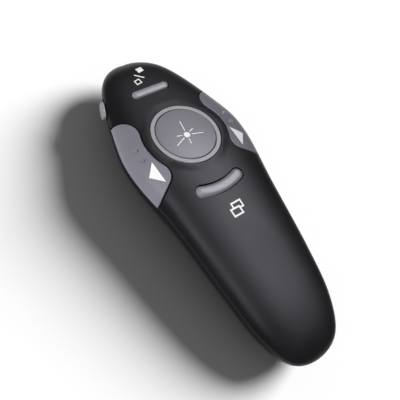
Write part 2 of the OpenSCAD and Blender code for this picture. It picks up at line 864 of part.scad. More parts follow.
module switch_cases()
    color([0.25, 0.25, 0.26])
    for (s = SWITCHES)
        translate([s[0], s[1], board_top]) rotate([0, 0, s[2]])
            difference() {
                translate([-switch_len / 2, -switch_w / 2, 0]) cube([switch_len, switch_w, switch_case_h]);
                translate([0, 0, 0.2]) cylinder(r = plunger_bore_r, h = 5);
            }

module plunger(i)
    color([0.9, 0.88, 0.8])
    translate([SWITCHES[i][0], SWITCHES[i][1], 0])
        post([0, 0], plunger_r, plunger_foot, plunger_top);

module laser_plunger() plunger(0);
module black_screen_plunger() plunger(1);
module window_plunger() plunger(2);
module previous_page_plunger() plunger(3);
module next_page_plunger() plunger(4);

slide_case_x = wall + 2.1;
slide_case_w = 2.6;
slide_case_h = 1.6;
slide_case_end = 1.6;
lever_half_l = 0.6;
lever_low = stem_low + 0.1;
lever_high = lever_low + 0.7;

// The slide switch hangs under the board, with its lever towards the flank
module slide_switch_case()
    color([0.7, 0.7, 0.72])
    at_knob() {
        high = board_low - knob_z;
        difference() {
            box_between([slide_case_x, -slide_case_end, high - slide_case_h],
                [slide_case_x + slide_case_w, slide_case_end + knob_travel, high]);
            box_between([slide_case_x - 1, -lever_half_l - 0.2, lever_low - 0.1],
                [slide_case_x + 1.6, lever_half_l + knob_travel + 0.2, lever_high + 0.1]);
        }
    }

module slide_switch_lever()
    color([0.15, 0.15, 0.15])
    at_knob()
        box_between([wall + 1, -lever_half_l, lever_low],
            [slide_case_x + 1.4, lever_half_l, lever_high]);

module radio_chip()
    color([0.12, 0.12, 0.13])
    box_between([-3, ring_y + 7.2, board_low - 0.9], [2, ring_y + 12.2, board_low]);

module boost_inductor()
    color([0.3, 0.3, 0.32])
    box_between([2.8, ring_y + 12.6, board_low - 1.3], [5.8, ring_y + 15.6, board_low]);

module crystal()
    color([0.8, 0.8, 0.78])
    box_between([3.4, ring_y + 8.2, board_low - 0.8], [6.6, ring_y + 10.7, board_low]);

module chip_capacitors()
    color([0.7, 0.6, 0.45])
    for (i = [0 : 5])
        box_between([-6.4, ring_y + 7.2 + 1.4 * i, board_low - 0.55],
            [-5.4, ring_y + 7.7 + 1.4 * i, board_low]);

// Meandering aerial on the board's tail edge
module antenna_trace()
    color([0.8, 0.5, 0.25])
    translate([-9.6, board_y0 + 0.6, board_top]) linear_extrude(0.1) {
        for (i = [0 : 4]) translate([1.3 * i, 0]) square([0.4, 3.4]);
        for (i = [0 : 3]) translate([1.3 * i, i % 2 == 0 ? 3 : 0]) square([1.7, 0.4]);
    }

// ---- Battery -------------------------------------------------------------------------------------------

module along_cell(y) translate([0, y, cell_z]) rotate([-90, 0, 0]) children();
sleeve_t = 0.15;

module battery_cell()
    color([0.75, 0.75, 0.77])
    along_cell(cell_rear) {
        cylinder(r = cell_r - sleeve_t, h = cell_len - nub_len);
        cylinder(r = nub_r, h = cell_len);
    }

module battery_sleeve()
    color([0.2, 0.35, 0.3])
    along_cell(cell_rear + 0.6)
        difference() {
            cylinder(r = cell_r, h = cell_len - nub_len - 1.2);
            translate([0, 0, -1]) cylinder(r = cell_r - sleeve_t, h = cell_len + 2);
        }

plate_r = 4.4;
plate_half_h = 2.9;
lead_tab = 1;

module positive_plate()
    color([0.8, 0.78, 0.7]) {
        box_between([-4, cell_front, cell_z - 3.5], [4, cell_front + contact_t, cell_z + 3.5]);
        box_between([-1, cell_front, cell_z + 3.5 - touch], [1, cell_front + contact_t, board_low]);
    }

module negative_plate()
    color([0.8, 0.78, 0.7])
    intersection() {
        box_between([-plate_r - lead_tab, negative_y, cell_z - plate_half_h],
            [plate_r, negative_y + contact_t, cell_z + plate_half_h]);
        union() {
            along_cell(negative_y - 1) cylinder(r = plate_r, h = 2);
            box_between([-big, negative_y - 1, cell_z - 0.6], [0, negative_y + 1, big]);
        }
    }

// Conical spring as one wire: full size at the plate, smaller at the cell
spring_turns = 3.5;
spring_wire_r = 0.25;
spring_rings = 8;
spring_sides = 6;
spring_base_r = 3.6;
spring_tip_r = 2.2;
spring_steps = spring_turns * spring_rings;

function spring_radius(u) = spring_base_r + (spring_tip_r - spring_base_r) * u;
function spring_point(u) =
    let (g = 360 * spring_turns * u)
    [spring_radius(u) * cos(g), spring_radius(u) * sin(g),
        spring_wire_r + (spring_len - 2 * spring_wire_r) * u];
// Least gap between the wire and its own next turn, on points a turn apart
spring_gap = min([for (i = [0 : spring_steps - spring_rings])
    norm(spring_point((i + spring_rings) / spring_steps) - spring_point(i / spring_steps))])
    - 2 * spring_wire_r;
echo(spring_gap = spring_gap);

module negative_spring()
    color([0.8, 0.8, 0.8])
    along_cell(negative_y + contact_t)
        polyhedron(
            [for (i = [0 : spring_steps], j = [0 : spring_sides - 1])
                let (u = i / spring_steps, g = 360 * spring_turns * u, b = 360 * j / spring_sides,
                    c = spring_point(u), out = [cos(g), sin(g), 0])
                c + spring_wire_r * (cos(b) * out + sin(b) * [0, 0, 1])],
            concat(
                [[for (j = [spring_sides - 1 : -1 : 0]) j]],
                [[for (j = [0 : spring_sides - 1]) spring_steps * spring_sides + j]],
                [for (i = [0 : spring_steps - 1], j = [0 : spring_sides - 1])
                    [i * spring_sides + j, i * spring_sides + (j + 1) % spring_sides,
                        (i + 1) * spring_sides + (j + 1) % spring_sides]],
                [for (i = [0 : spring_steps - 1], j = [0 : spring_sides - 1])
                    [i * spring_sides + j, (i + 1) * spring_sides + (j + 1) % spring_sides,
                        (i + 1) * spring_sides + j]]));

lead_r = 0.45;
lead_x = -bay_half_w - bay_wall - 0.2 - lead_r;
lead_z = 10;

// Insulated wire from the negative plate along the bay to the board
module negative_lead()
    color([0.1, 0.1, 0.1]) {
        y0 = negative_y + contact_t / 2;
        y1 = board_y0 + 1;
        translate([lead_x, y0, lead_z]) rotate([-90, 0, 0]) cylinder(r = lead_r, h = y1 - y0);
        translate([lead_x, y1, lead_z]) sphere(lead_r);
        translate([lead_x, y1, lead_z]) cylinder(r = lead_r, h = board_low - lead_z);
    }

// ---- Receiver ---------------------------------------------------------------------------

module receiver_housing()
    color([0.13, 0.13, 0.14])
    difference() {
        intersection() {
            box_between([-receiver_w / 2, receiver_y0, receiver_lift],
                [receiver_w / 2, receiver_y1, receiver_h]);
            skin_patch(receiver_y0 - 1, receiver_end, LOWER_FROM, 3, ARCS - 3);
        }
        for (i = [0 : 2])
            box_between([-5, receiver_y0 + 1.6 + 1.6 * i, -1],
                [5, receiver_y0 + 2.3 + 1.6 * i, receiver_lift + 0.3]);
    }

module receiver_plug()
    color([0.8, 0.8, 0.82])
    difference() {
        box_between([-plug_w / 2, receiver_y1, plug_z - plug_h / 2],
            [plug_w / 2, receiver_end, plug_z + plug_h / 2]);
        box_between([-plug_w / 2 + plug_wall, receiver_y1 - 1, plug_z - plug_h / 2 + plug_wall],
            [plug_w / 2 - plug_wall, receiver_end + 1, plug_z + plug_h / 2 - plug_wall]);
        for (x = [-3.2, 3.2])
            box_between([x - 1.1, receiver_end - 6, -1], [x + 1.1, receiver_end - 3.8, 20]);
    }

module receiver_tongue()
    color([0.92, 0.92, 0.9])
    box_between([-plug_w / 2 + plug_wall, receiver_y1, plug_z + plug_wall - plug_h / 2],
        [plug_w / 2 - plug_wall, receiver_end - 0.4, plug_z - 0.1]);

// ---- Screws -----------------------------------------------------------------------------

// A screw that points up, with its head's underside at the given height
module screw(place, seat, tip, head_r, shaft_r)
    difference() {
        union() {
            post(place, head_r, seat - screw_head_h, seat);
            post(place, shaft_r, seat - touch, tip);
        }
        translate([place[0], place[1], seat - screw_head_h]) {
            cube([head_r * 1.1, 0.45, 1.2], center = true);
            cube([0.45, head_r * 1.1, 1.2], center = true);
        }
    }

module case_screws()
    color([0.35, 0.35, 0.36])
    for (s = [-1, 1]) {
        front = [s * front_screw[0], front_screw[1]];
        rear = [s * rear_screw[0], rear_screw[1]];
        screw(front, head_z(front) + screw_head_h, board_top + 1.2, screw_head_r, screw_r);
        screw(rear, head_z(rear) + screw_head_h, rear_boss_low + 4.4, screw_head_r, screw_r);
    }

module board_screws()
    color([0.6, 0.6, 0.62])
    for (s = [-1, 1])
        screw([s * board_screw[0], board_screw[1]], board_low, board_top + 3.2, 1.6, screw_r);

top_cover();
bottom_cover();
battery_door();
laser_ring();
laser_button();
black_screen_button();
window_button();
previous_page_key();
next_page_key();
power_slide_knob();
aperture_bezel();
laser_window();
laser_barrel();
laser_lens();
laser_diode();
main_board();
switch_cases();
laser_plunger();
black_screen_plunger();
window_plunger();
previous_page_plunger();
next_page_plunger();
slide_switch_case();
slide_switch_lever();
radio_chip();
boost_inductor();
crystal();
chip_capacitors();
antenna_trace();
battery_cell();
battery_sleeve();
negative_spring();
negative_plate();
positive_plate();
negative_lead();
receiver_housing();
receiver_plug();
receiver_tongue();
case_screws();
board_screws();
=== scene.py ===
"""Looks of the wireless presentation clicker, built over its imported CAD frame.

Lengths are in mm in the CAD's frame, and Sheet.make turns them into metres. Places of lamps,
features of noise and reliefs are in metres.
"""

import math

import bpy
import numpy as np
from mathutils import Matrix, Vector
from mathutils.geometry import delaunay_2d_cdt


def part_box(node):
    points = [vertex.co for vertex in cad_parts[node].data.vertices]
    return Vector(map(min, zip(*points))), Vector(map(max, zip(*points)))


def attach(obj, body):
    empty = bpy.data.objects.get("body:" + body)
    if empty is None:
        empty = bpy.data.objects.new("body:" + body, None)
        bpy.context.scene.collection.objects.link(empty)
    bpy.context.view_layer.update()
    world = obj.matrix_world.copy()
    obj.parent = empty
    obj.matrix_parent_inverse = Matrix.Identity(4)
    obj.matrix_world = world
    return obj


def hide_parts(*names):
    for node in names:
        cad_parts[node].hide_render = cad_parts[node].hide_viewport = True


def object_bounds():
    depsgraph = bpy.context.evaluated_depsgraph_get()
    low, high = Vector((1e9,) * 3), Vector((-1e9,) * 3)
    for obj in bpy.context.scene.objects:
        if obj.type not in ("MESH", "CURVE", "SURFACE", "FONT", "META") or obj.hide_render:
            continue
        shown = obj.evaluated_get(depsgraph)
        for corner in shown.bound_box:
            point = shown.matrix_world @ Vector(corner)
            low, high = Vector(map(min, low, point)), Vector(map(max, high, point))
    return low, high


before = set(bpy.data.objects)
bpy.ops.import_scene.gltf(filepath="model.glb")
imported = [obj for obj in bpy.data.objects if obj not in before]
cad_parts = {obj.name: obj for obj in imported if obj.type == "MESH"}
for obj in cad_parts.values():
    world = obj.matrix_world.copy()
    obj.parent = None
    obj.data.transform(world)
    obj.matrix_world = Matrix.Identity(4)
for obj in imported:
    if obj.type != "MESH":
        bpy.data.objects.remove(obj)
cad_box = [list(corner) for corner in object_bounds()]

MM = 0.001
LOW_CORNER, HIGH_CORNER = (np.array(corner) / MM for corner in cad_box)

# ---- The body's skin, from the same values as the part's source (mm) ----

# Each row is a station: its place along the body, half width, crown, belly and seam height, each
# as a share of the body's own
STATIONS = np.array([
    [0.000, 0.000, 0.00, 0.00, 0.667],
    [0.028, 0.415, 0.35, 0.49, 0.714],
    [0.123, 0.654, 0.49, 0.82, 0.816],
    [0.264, 0.766, 0.60, 0.91, 0.912],
    [0.462, 0.868, 0.70, 1.00, 1.000],
    [0.637, 1.000, 1.00, 0.97, 0.983],
    [0.755, 0.917, 0.82, 0.93, 0.929],
    [0.942, 0.534, 0.55, 0.52, 0.765],
    [1.000, 0.000, 0.00, 0.00, 0.633],
])
LAST = 8  # the last station
END = 0.02  # the skin is used from this station on, and to as far before the last
LENGTH, HALF_WIDTH, CROWN, BELLY, SEAM = 106.0, 20.5, 5.3, 15.2, 14.7
UP_POWER, LOW_POWER = 2.45, 1.8  # the section's roundness above and below the seam
SEAM_HALF = 0.075  # half of the gap between the covers
LIFT = 0.02  # rounded edges, print and dome stand this much off the solids

RING_Y, RING_Z, RING_TILT, RING_R = 20.0, 18.8, math.radians(8), 10.5


def share(k, t):
    """Column k of the stations at station t, on a smooth curve that is mirrored at both ends."""
    t = np.clip(np.asarray(t, float), 0, LAST)
    i = np.minimum(np.floor(t).astype(int), LAST - 1)
    f = t - i
    odd = -1.0 if k in (1, 2, 3) else 1.0  # widths and depths pass through zero at the ends

    def at(j):
        mirrored = (j < 0) | (j > LAST)
        v = STATIONS[np.where(j < 0, -j, np.where(j > LAST, 2 * LAST - j, j)), k]
        return np.where(mirrored, odd * v, v)

    a, b, c, d = at(i - 1), at(i), at(i + 1), at(i + 2)
    return 0.5 * (2 * b + (c - a) * f + (2 * a - 5 * b + 4 * c - d) * f**2
                  + (3 * b - a - 3 * c + d) * f**3)


def along(t):
    """Distance along the body from its middle."""
    return LENGTH * (share(0, t) - 0.5)


def half_w(t):
    """Half of the body's width."""
    return HALF_WIDTH * share(1, t)


def crown(t):
    """Height of the top over the seam."""
    return CROWN * share(2, t)


def belly(t):
    """Depth of the underside below the seam."""
    return BELLY * share(3, t)


def seam(t):
    """Height of the seam."""
    return SEAM * share(4, t)


T_TABLE = np.linspace(END, LAST - END, 6001)
Y_TABLE = along(T_TABLE)


def station_at(y):
    """Station at a distance along the body."""
    return np.interp(y, Y_TABLE, T_TABLE)


def skin(t, a):
    """Points of the plain body at station t and angle a round its section."""
    ca, sa = np.cos(a), np.sin(a)
    up = sa >= 0
    p = np.where(up, UP_POWER, LOW_POWER)
    x = half_w(t) * np.sign(ca) * np.abs(ca) ** (2 / p)
    z = seam(t) + np.where(up, crown(t), belly(t)) * np.sign(sa) * np.abs(sa) ** (2 / p)
    return np.stack([x, along(t) + 0 * x, z], -1)


def smoothstep(f):
    """0 up to 0, 1 from 1 on, and a smooth change between."""
    f = np.clip(f, 0, 1)
    return f * f * (3 - 2 * f)


def ring_plane_z(y):
    """Height of the plane of the ring's face."""
    return RING_Z - (y - RING_Y) * math.tan(RING_TILT)


def full_turn(n):
    """n even angles over a full turn."""
    return np.arange(n) / n * 2 * math.pi


def moved(points, matrix):
    """Points moved by a 4 x 4 matrix."""
    m = np.array(matrix)
    return points @ m[:3, :3].T + m[:3, 3]


def turned(directions, matrix):
    """Directions turned by a 4 x 4 matrix."""
    return directions @ np.array(matrix)[:3, :3].T


def unit(vectors):
    """The vectors at length 1."""
    return vectors / np.maximum(np.linalg.norm(vectors, axis=-1, keepdims=True), 1e-12)


class Skin:
    """Half of the body's skin, unrolled: u runs across from the middle line, v along it, in mm."""

    def __init__(self, upper, shape=None):
        self.upper = upper
        self.mid = math.pi / 2 if upper else 1.5 * math.pi
        self.way = -1 if upper else 1
        self.shape = shape
        self.power, self.depth = (UP_POWER, crown) if upper else (LOW_POWER, belly)
        line = skin(T_TABLE, np.full(T_TABLE.shape, self.mid))
        steps = np.linalg.norm(np.diff(line, axis=0), axis=1)
        self.v = np.concatenate([[0], np.cumsum(steps)])
        self.v -= np.interp(0, Y_TABLE, self.v)
        angles = self.mid + self.way * np.linspace(0, math.pi / 2, 50)
        quarter = skin(T_TABLE[:, None], angles[None, :])
        self.k = np.linalg.norm(np.diff(quarter, axis=1), axis=2).sum(1)

    def point(self, uv):
        """Points of the shaped skin over (u, v)."""
        uv = np.asarray(uv, float)
        t = np.interp(uv[..., 1], self.v, T_TABLE)
        k = np.interp(uv[..., 1], self.v, self.k)
        p = skin(t, self.mid + self.way * (math.pi / 2) * uv[..., 0] / k)
        return self.shape(p) if self.shape else p

    def normal(self, uv, e=0.03):
        """Outward normals over (u, v), from points at e to all four sides."""
        uv = np.asarray(uv, float)
        du = self.point(uv + [e, 0]) - self.point(uv - [e, 0])
        dv = self.point(uv + [0, e]) - self.point(uv - [0, e])
        return unit(np.cross(du, dv) * (1 if self.upper else -1))

    def at_angle(self, t, a):
        """(u, v) of the skin at station t and angle a."""
        t = np.asarray(t, float)
        u = self.way * (a - self.mid) / (math.pi / 2) * np.interp(t, T_TABLE, self.k)
        return np.stack([u, np.interp(t, T_TABLE, self.v)], -1)

    def from_plan(self, xy):
        """(u, v) of the skin over plan points; beyond the width, u simply goes on."""
        xy = np.asarray(xy, float)
        t = station_at(xy[:, 1])
        q = np.abs(xy[:, 0]) / half_w(t)
        a = np.arccos(np.minimum(q, 1) ** (self.power / 2))
        share_out = 1 - a / (math.pi / 2) + np.maximum(q - 1, 0)
        u = np.sign(xy[:, 0]) * np.interp(t, T_TABLE, self.k) * share_out
        return np.stack([u, np.interp(t, T_TABLE, self.v)], -1)


class Plane:
    """A face given by its height over the plane of a 4 x 4 matrix."""

    def __init__(self, height, place):
        self.height = height
        self.place = place
        self.upper = True

    def point(self, uv):
        """Points of the face over (u, v)."""
        u, v = np.moveaxis(np.asarray(uv, float), -1, 0)
        return moved(np.stack([u, v, self.height(u, v)], -1), self.place)

    normal = Skin.normal


# ---- Loops in the unrolled plane ----


def densify(loop, step=0.12):
    """The closed loop with points no further apart than step."""
    loop = np.asarray(loop, float)
    out = []
    for a, b in zip(loop, np.roll(loop, -1, 0)):
        n = max(1, int(math.ceil(np.linalg.norm(b - a) / step)))
        out.append(a + (b - a) * np.arange(n)[:, None] / n)
    return np.concatenate(out)


def inside(points, loop):
    """Whether each point lies in the closed loop."""
    x, y = points[:, 0], points[:, 1]
    result = np.zeros(len(points), bool)
    x0, y0 = loop[:, 0], loop[:, 1]
    x1, y1 = np.roll(x0, -1), np.roll(y0, -1)
    for i in range(len(loop)):
        if y0[i] == y1[i]:
            continue
        hit = ((y0[i] > y) != (y1[i] > y))
        cut = x0[i] + (y - y0[i]) * (x1[i] - x0[i]) / (y1[i] - y0[i])
        result ^= hit & (x < cut)
    return result


def run(loop, mask):
    """The stretch of the loop where the mask holds, in order."""
    starts = np.flatnonzero(mask & ~np.roll(mask, 1))
    if not len(starts):
        return loop[mask]
    best = max(starts, key=lambda s: next((n for n in range(len(loop))
                                           if not mask[(s + n) % len(loop)]), len(loop)))
    rolled, flags = np.roll(loop, -best, 0), np.roll(mask, -best)
    stop = len(loop) if flags.all() else int(np.argmin(flags))
    return rolled[:stop]


def join(first, second):
    """One closed loop of two stretches, the second reversed where its end lies nearer."""
    if np.linalg.norm(first[-1] - second[0]) > np.linalg.norm(first[-1] - second[-1]):
        second = second[::-1]
    return np.concatenate([first, second])


def combine(a, b, keep_inside):
    """The part of loop a inside, or outside, loop b, closed along b."""
    first = run(a, inside(a, b) == keep_inside)
    second = run(b, inside(b, a))
    return join(first, second) if len(second) else a


def resample(loop, surface, step, rounding=2):
    """The closed loop with even steps on the surface, its corners a little rounded."""
    closed = np.concatenate([loop, loop[:1]])
    p = surface.point(closed)
    s = np.concatenate([[0], np.cumsum(np.linalg.norm(np.diff(p, axis=0), axis=1))])
    n = max(12, int(round(s[-1] / step)))
    at = np.arange(n) / n * s[-1]
    out = np.stack([np.interp(at, s, closed[:, 0]), np.interp(at, s, closed[:, 1])], -1)
    for _ in range(rounding):
        out = (np.roll(out, 1, 0) + 2 * out + np.roll(out, -1, 0)) / 4
    return out


def area(loop):
    """Area of the closed loop, below zero when it runs clockwise."""
    x, y = loop[:, 0], loop[:, 1]
    return 0.5 * np.sum(x * np.roll(y, -1) - np.roll(x, -1) * y)


# ---- Meshes ----

ROW_RATIO = 0.87  # distance of the rows in a grid of even triangles, as a share of their side
EDGE_MARGIN = 0.45  # grid points keep this far, or half the spacing, off the loops
CHUNK = 500  # grid points compared with the loops at a time
LEVEL_BELOW = 0.3  # the wall behind a rounded edge is level where the normal rises less than this
POINT_STEPS, NORMAL_STEPS = 2000, 40  # points that round to the same steps per unit are merged
END_Y = 51.0  # past this the facets of the rounded ends face every way


class Sheet:
    """Collects points with their exact normals and faces, in mm, and makes the mesh object."""

    def __init__(self):
        self.co, self.no, self.faces, self.count = [], [], [], 0

    def add(self, co, no, faces):
        """Takes in points, their normals and faces that count from the first of them."""
        self.faces.append([[v + self.count for v in f] for f in faces])
        self.co.append(np.asarray(co, float))
        self.no.append(np.asarray(no, float))
        self.count += len(co)

    def strip(self, rows, normals):
        """Quads between closed rows of points."""
        n = len(rows[0])
        faces = []
        for r in range(len(rows) - 1):
            for i in range(n):
                j = (i + 1) % n
                faces.append([r * n + i, r * n + j, (r + 1) * n + j, (r + 1) * n + i])
        self.add(np.concatenate(rows), np.concatenate(normals), faces)

    def fill(self, surface, outer, holes=(), spacing=1.0, fine=(), offset=0.0):
        """Triangles over the surface inside the outer loop and outside the holes."""
        lo, hi = outer.min(0), outer.max(0)
        grid = []
        rows = max(2, int((hi[1] - lo[1]) / (spacing * ROW_RATIO)))
        for r in range(1, rows):
            v = lo[1] + (hi[1] - lo[1]) * r / rows
            us = np.arange(lo[0] + (r % 2) * spacing / 2, hi[0], spacing)
            grid.append(np.stack([us, np.full(us.shape, v)], -1))
        for centre, radius, step in fine:
            k = np.arange(-radius, radius + step / 2, step)
            gu, gv = np.meshgrid(k, k)
            keep = gu**2 + gv**2 < radius**2
            grid.append(np.stack([gu[keep], gv[keep]], -1) + centre)
        grid = np.concatenate(grid)
        loops = [outer, *holes]

        def in_material(points):
            good = inside(points, outer)
            for h in holes:
                good &= ~inside(points, h)
            return good

        grid = grid[in_material(grid)]
        edge = np.concatenate(loops)
        clear = np.ones(len(grid), bool)
        margin = min(0.5 * spacing, EDGE_MARGIN)
        for i in range(0, len(grid), CHUNK):
            d = np.linalg.norm(grid[i:i + CHUNK, None] - edge[None], axis=2)
            clear[i:i + CHUNK] = d.min(1) > margin
        points = np.concatenate([edge, grid[clear]])
        edges, start = [], 0
        for loop in loops:
            n = len(loop)
            edges += [(start + i, start + (i + 1) % n) for i in range(n)]
            start += n
        made = delaunay_2d_cdt([Vector(p) for p in points], edges, [], 0, 1e-6)
        uv = np.array([tuple(p) for p in made[0]])
        tris = np.array([f for f in made[2] if len(f) == 3])
        tris = tris[in_material(uv[tris].mean(1))]
        n = surface.normal(uv)
        self.add(surface.point(uv) + offset * n, n, tris.tolist())

    def rim(self, surface, loop, hole, r=0.25, depth=0.35, steps=4, upright=False):
        """Rounded edge along a loop and the wall below it. hole: the material is outside.

        The wall stands square to the skin, level beside the seam, or upright.
        """
        p, n = surface.point(loop), surface.normal(loop)
        tangent = unit(np.roll(p, -1, 0) - np.roll(p, 1, 0))
        way = (1 if area(loop) > 0 else -1) * (1 if surface.upper else -1)
        inwards = way * np.cross(n, tangent)
        d = unit(inwards if hole else -inwards)
        rows, normals = [], []
        for s in range(steps + 1):
            g = s / steps * math.pi / 2
            rows.append(p + (r + LIFT) * math.sin(g) * d - r * (1 - math.cos(g)) * n)
            normals.append(math.cos(g) * n + math.sin(g) * d)
        steep = smoothstep((np.abs(n[:, 2]) - LEVEL_BELOW) / LEVEL_BELOW)
        lean = np.ones(len(n)) if upright else steep
        side = n[:, :2] * (not upright)
        rows.append(rows[-1] - depth * np.concatenate([side, (n[:, 2] * lean)[:, None]], 1))
        normals.append(d)
        self.strip(rows, normals)

    def lathe(self, profile, place, segments=160):
        """Turns a profile of (radius, height, normal radius, normal height) about its axis."""
        c, s = np.cos(full_turn(segments)), np.sin(full_turn(segments))
        rows, normals = [], []
        for r, h, nr, nh in profile:
            rows.append(moved(np.stack([r * c, r * s, np.full(segments, h)], -1), place))
            normals.append(turned(np.stack([nr * c, nr * s, np.full(segments, nh)], -1), place))
        self.strip(rows, normals)

    def make(self, name, material, body, slot, *replaced):
        """The mesh object, within the CAD's box, with equal points merged and faces outwards."""
        co = np.clip(np.concatenate(self.co), LOW_CORNER, HIGH_CORNER)
        no = unit(np.concatenate(self.no))
        faces = [f for group in self.faces for f in group]
        key = np.concatenate([co * POINT_STEPS, no * NORMAL_STEPS], 1)
        key = np.round(key).astype(np.int64)
        _, first, which = np.unique(key, axis=0, return_index=True, return_inverse=True)
        co, no, which = co[first], no[first], which.ravel()
        cleaned = []
        for f in faces:
            f = [int(which[v]) for v in f]
            f = [v for i, v in enumerate(f) if v != f[i - 1]]
            if len(set(f)) != len(f) or len(f) < 3:
                continue
            a, b, c = co[f[0]], co[f[1]], co[f[2]]
            g = np.cross(b - a, c - a) if len(f) == 3 else np.cross(c - a, co[f[3]] - b)
            cleaned.append(f[::-1] if g @ no[f].mean(0) < 0 else f)
        mesh = bpy.data.meshes.new(name)
        mesh.from_pydata((co * MM).tolist(), [], cleaned)
        mesh.update()
        mesh.polygons.foreach_set("use_smooth", [True] * len(mesh.polygons))
        mesh.normals_split_custom_set_from_vertices(no.tolist())
        mesh.materials.append(material)
        obj = bpy.data.objects.new(name, mesh)
        bpy.context.scene.collection.objects.link(obj)
        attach(obj, body)
        if replaced:
            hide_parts(*replaced)

    def add_inner(self, node, keep):
        """The faces of a CAD node for which keep(centres, normals) holds, with flat normals."""
        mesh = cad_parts[node].data
        n = len(mesh.vertices)
        co = np.zeros(n * 3)
        mesh.vertices.foreach_get("co", co)
        co = co.reshape(-1, 3) / MM
        faces = [list(p.vertices) for p in mesh.polygons]
        centres = np.array([co[f].mean(0) for f in faces])
        normals = np.array([np.array(p.normal) for p in mesh.polygons])
        for i in np.flatnonzero(keep(centres, normals)):
            f = faces[i]
            self.add(co[f], np.repeat(normals[i][None], len(f), 0), [range(len(f))])


def off_skin(centres, normals):
    """Faces that aren't on the body's outer skin."""
    x, y, z = centres.T
    t = station_at(y)
    w, s = half_w(t), seam(t)
    up = z >= s
    c = np.where(up, crown(t), belly(t))
    p = np.where(up, UP_POWER, LOW_POWER)
    fx, fz = np.abs(x / w), np.abs((z - s) / c)
    level = (fx**p + fz**p) ** (1 / p) - 1
    across, upwards = np.sign(x) * fx ** (p - 1) / w, np.sign(z - s) * fz ** (p - 1) / c
    grad = np.stack([across, 0 * x, upwards], -1)
    grad /= np.maximum(np.linalg.norm(grad, axis=1, keepdims=True), 1e-9)
    outward = (grad * normals).sum(1) > np.where(np.abs(y) > END_Y, -0.2, 0.45)
    flat_base = (z < 0.01) & (normals[:, 2] < -0.9)
    return ~((outward & (level > -0.04)) | flat_base)


# ---- Materials ----


def node_material(name):
    """A new material, its node tree and its shader."""
    m = bpy.data.materials.new(name)
    m.use_nodes = True
    nt = m.node_tree
    return m, nt, nt.nodes["Principled BSDF"]


def speckle(nt, scale, detail=3.0):
    """Noise in object space, in features per metre."""
    coords = nt.nodes.new("ShaderNodeTexCoord")
    noise = nt.nodes.new("ShaderNodeTexNoise")
    noise.inputs["Scale"].default_value = scale
    noise.inputs["Detail"].default_value = detail
    nt.links.new(coords.outputs["Object"], noise.inputs["Vector"])
    return noise


def ramp(nt, source, low, high):
    """Colour between two shades by a noise."""
    r = nt.nodes.new("ShaderNodeValToRGB")
    r.color_ramp.elements[0].position = 0.3
    r.color_ramp.elements[1].position = 0.7
    r.color_ramp.elements[0].color = (*low, 1)
    r.color_ramp.elements[1].color = (*high, 1)
    nt.links.new(source, r.inputs["Fac"])
    return r


def spread(nt, source, low, high):
    """Value between two limits by a noise."""
    m = nt.nodes.new("ShaderNodeMapRange")
    m.inputs["From Min"].default_value = 0.3
    m.inputs["From Max"].default_value = 0.7
    m.inputs["To Min"].default_value = low
    m.inputs["To Max"].default_value = high
    nt.links.new(source, m.inputs["Value"])
    return m


def shade_and_gloss(nt, bsdf, noise, colors, gloss):
    """Lets a noise vary the colour between two shades and the roughness between two values."""
    shade = ramp(nt, noise.outputs["Fac"], *colors)
    nt.links.new(shade.outputs["Color"], bsdf.inputs["Base Color"])
    rough = spread(nt, noise.outputs["Fac"], *gloss)
    nt.links.new(rough.outputs["Result"], bsdf.inputs["Roughness"])


def relief(nt, bsdf, noise, strength, distance):
    """Lets a noise raise the surface, by a distance in metres."""
    bump = nt.nodes.new("ShaderNodeBump")
    bump.inputs["Strength"].default_value = strength
    bump.inputs["Distance"].default_value = distance
    nt.links.new(noise.outputs["Fac"], bump.inputs["Height"])
    nt.links.new(bump.outputs["Normal"], bsdf.inputs["Normal"])


def moulded(name, color, rough, grain=4200.0, grain_depth=0.25, tint=0.08, metallic=0.0,
            specular=0.5):
    """Moulded or coated surface: fine grain, uneven gloss and a faint change of shade."""
    m, nt, bsdf = node_material(name)
    fine = speckle(nt, grain)
    broad = speckle(nt, 90.0, 2.0)
    shades = [c * (1 - tint) for c in color], [min(1, c * (1 + tint)) for c in color]
    shade_and_gloss(nt, bsdf, broad, shades, (rough - 0.03, rough + 0.03))
    relief(nt, bsdf, fine, grain_depth, 0.00003)
    bsdf.inputs["Metallic"].default_value = metallic
    bsdf.inputs["Specular IOR Level"].default_value = specular
    return m


def brushed(name, color, rough, stretch=(1, 30, 1), grain=900.0):
    """Metal with marks drawn along one direction."""
    m, nt, bsdf = node_material(name)
    coords = nt.nodes.new("ShaderNodeTexCoord")
    mapping = nt.nodes.new("ShaderNodeMapping")
    mapping.inputs["Scale"].default_value = stretch
    noise = nt.nodes.new("ShaderNodeTexNoise")
    noise.inputs["Scale"].default_value = grain
    noise.inputs["Detail"].default_value = 4
    nt.links.new(coords.outputs["Object"], mapping.inputs["Vector"])
    nt.links.new(mapping.outputs["Vector"], noise.inputs["Vector"])
    shades = [c * 0.88 for c in color], color
    shade_and_gloss(nt, bsdf, noise, shades, (rough - 0.06, rough + 0.08))
    relief(nt, bsdf, noise, 0.15, 0.00002)
    bsdf.inputs["Metallic"].default_value = 1.0
    return m


def clear(name, color, rough, transmission):
    """Clear or tinted plastic or glass."""
    m, nt, bsdf = node_material(name)
    shades = [c * 0.94 for c in color], color
    shade_and_gloss(nt, bsdf, speckle(nt, 300.0), shades, (rough, rough + 0.05))
    bsdf.inputs["Transmission Weight"].default_value = transmission
    return m


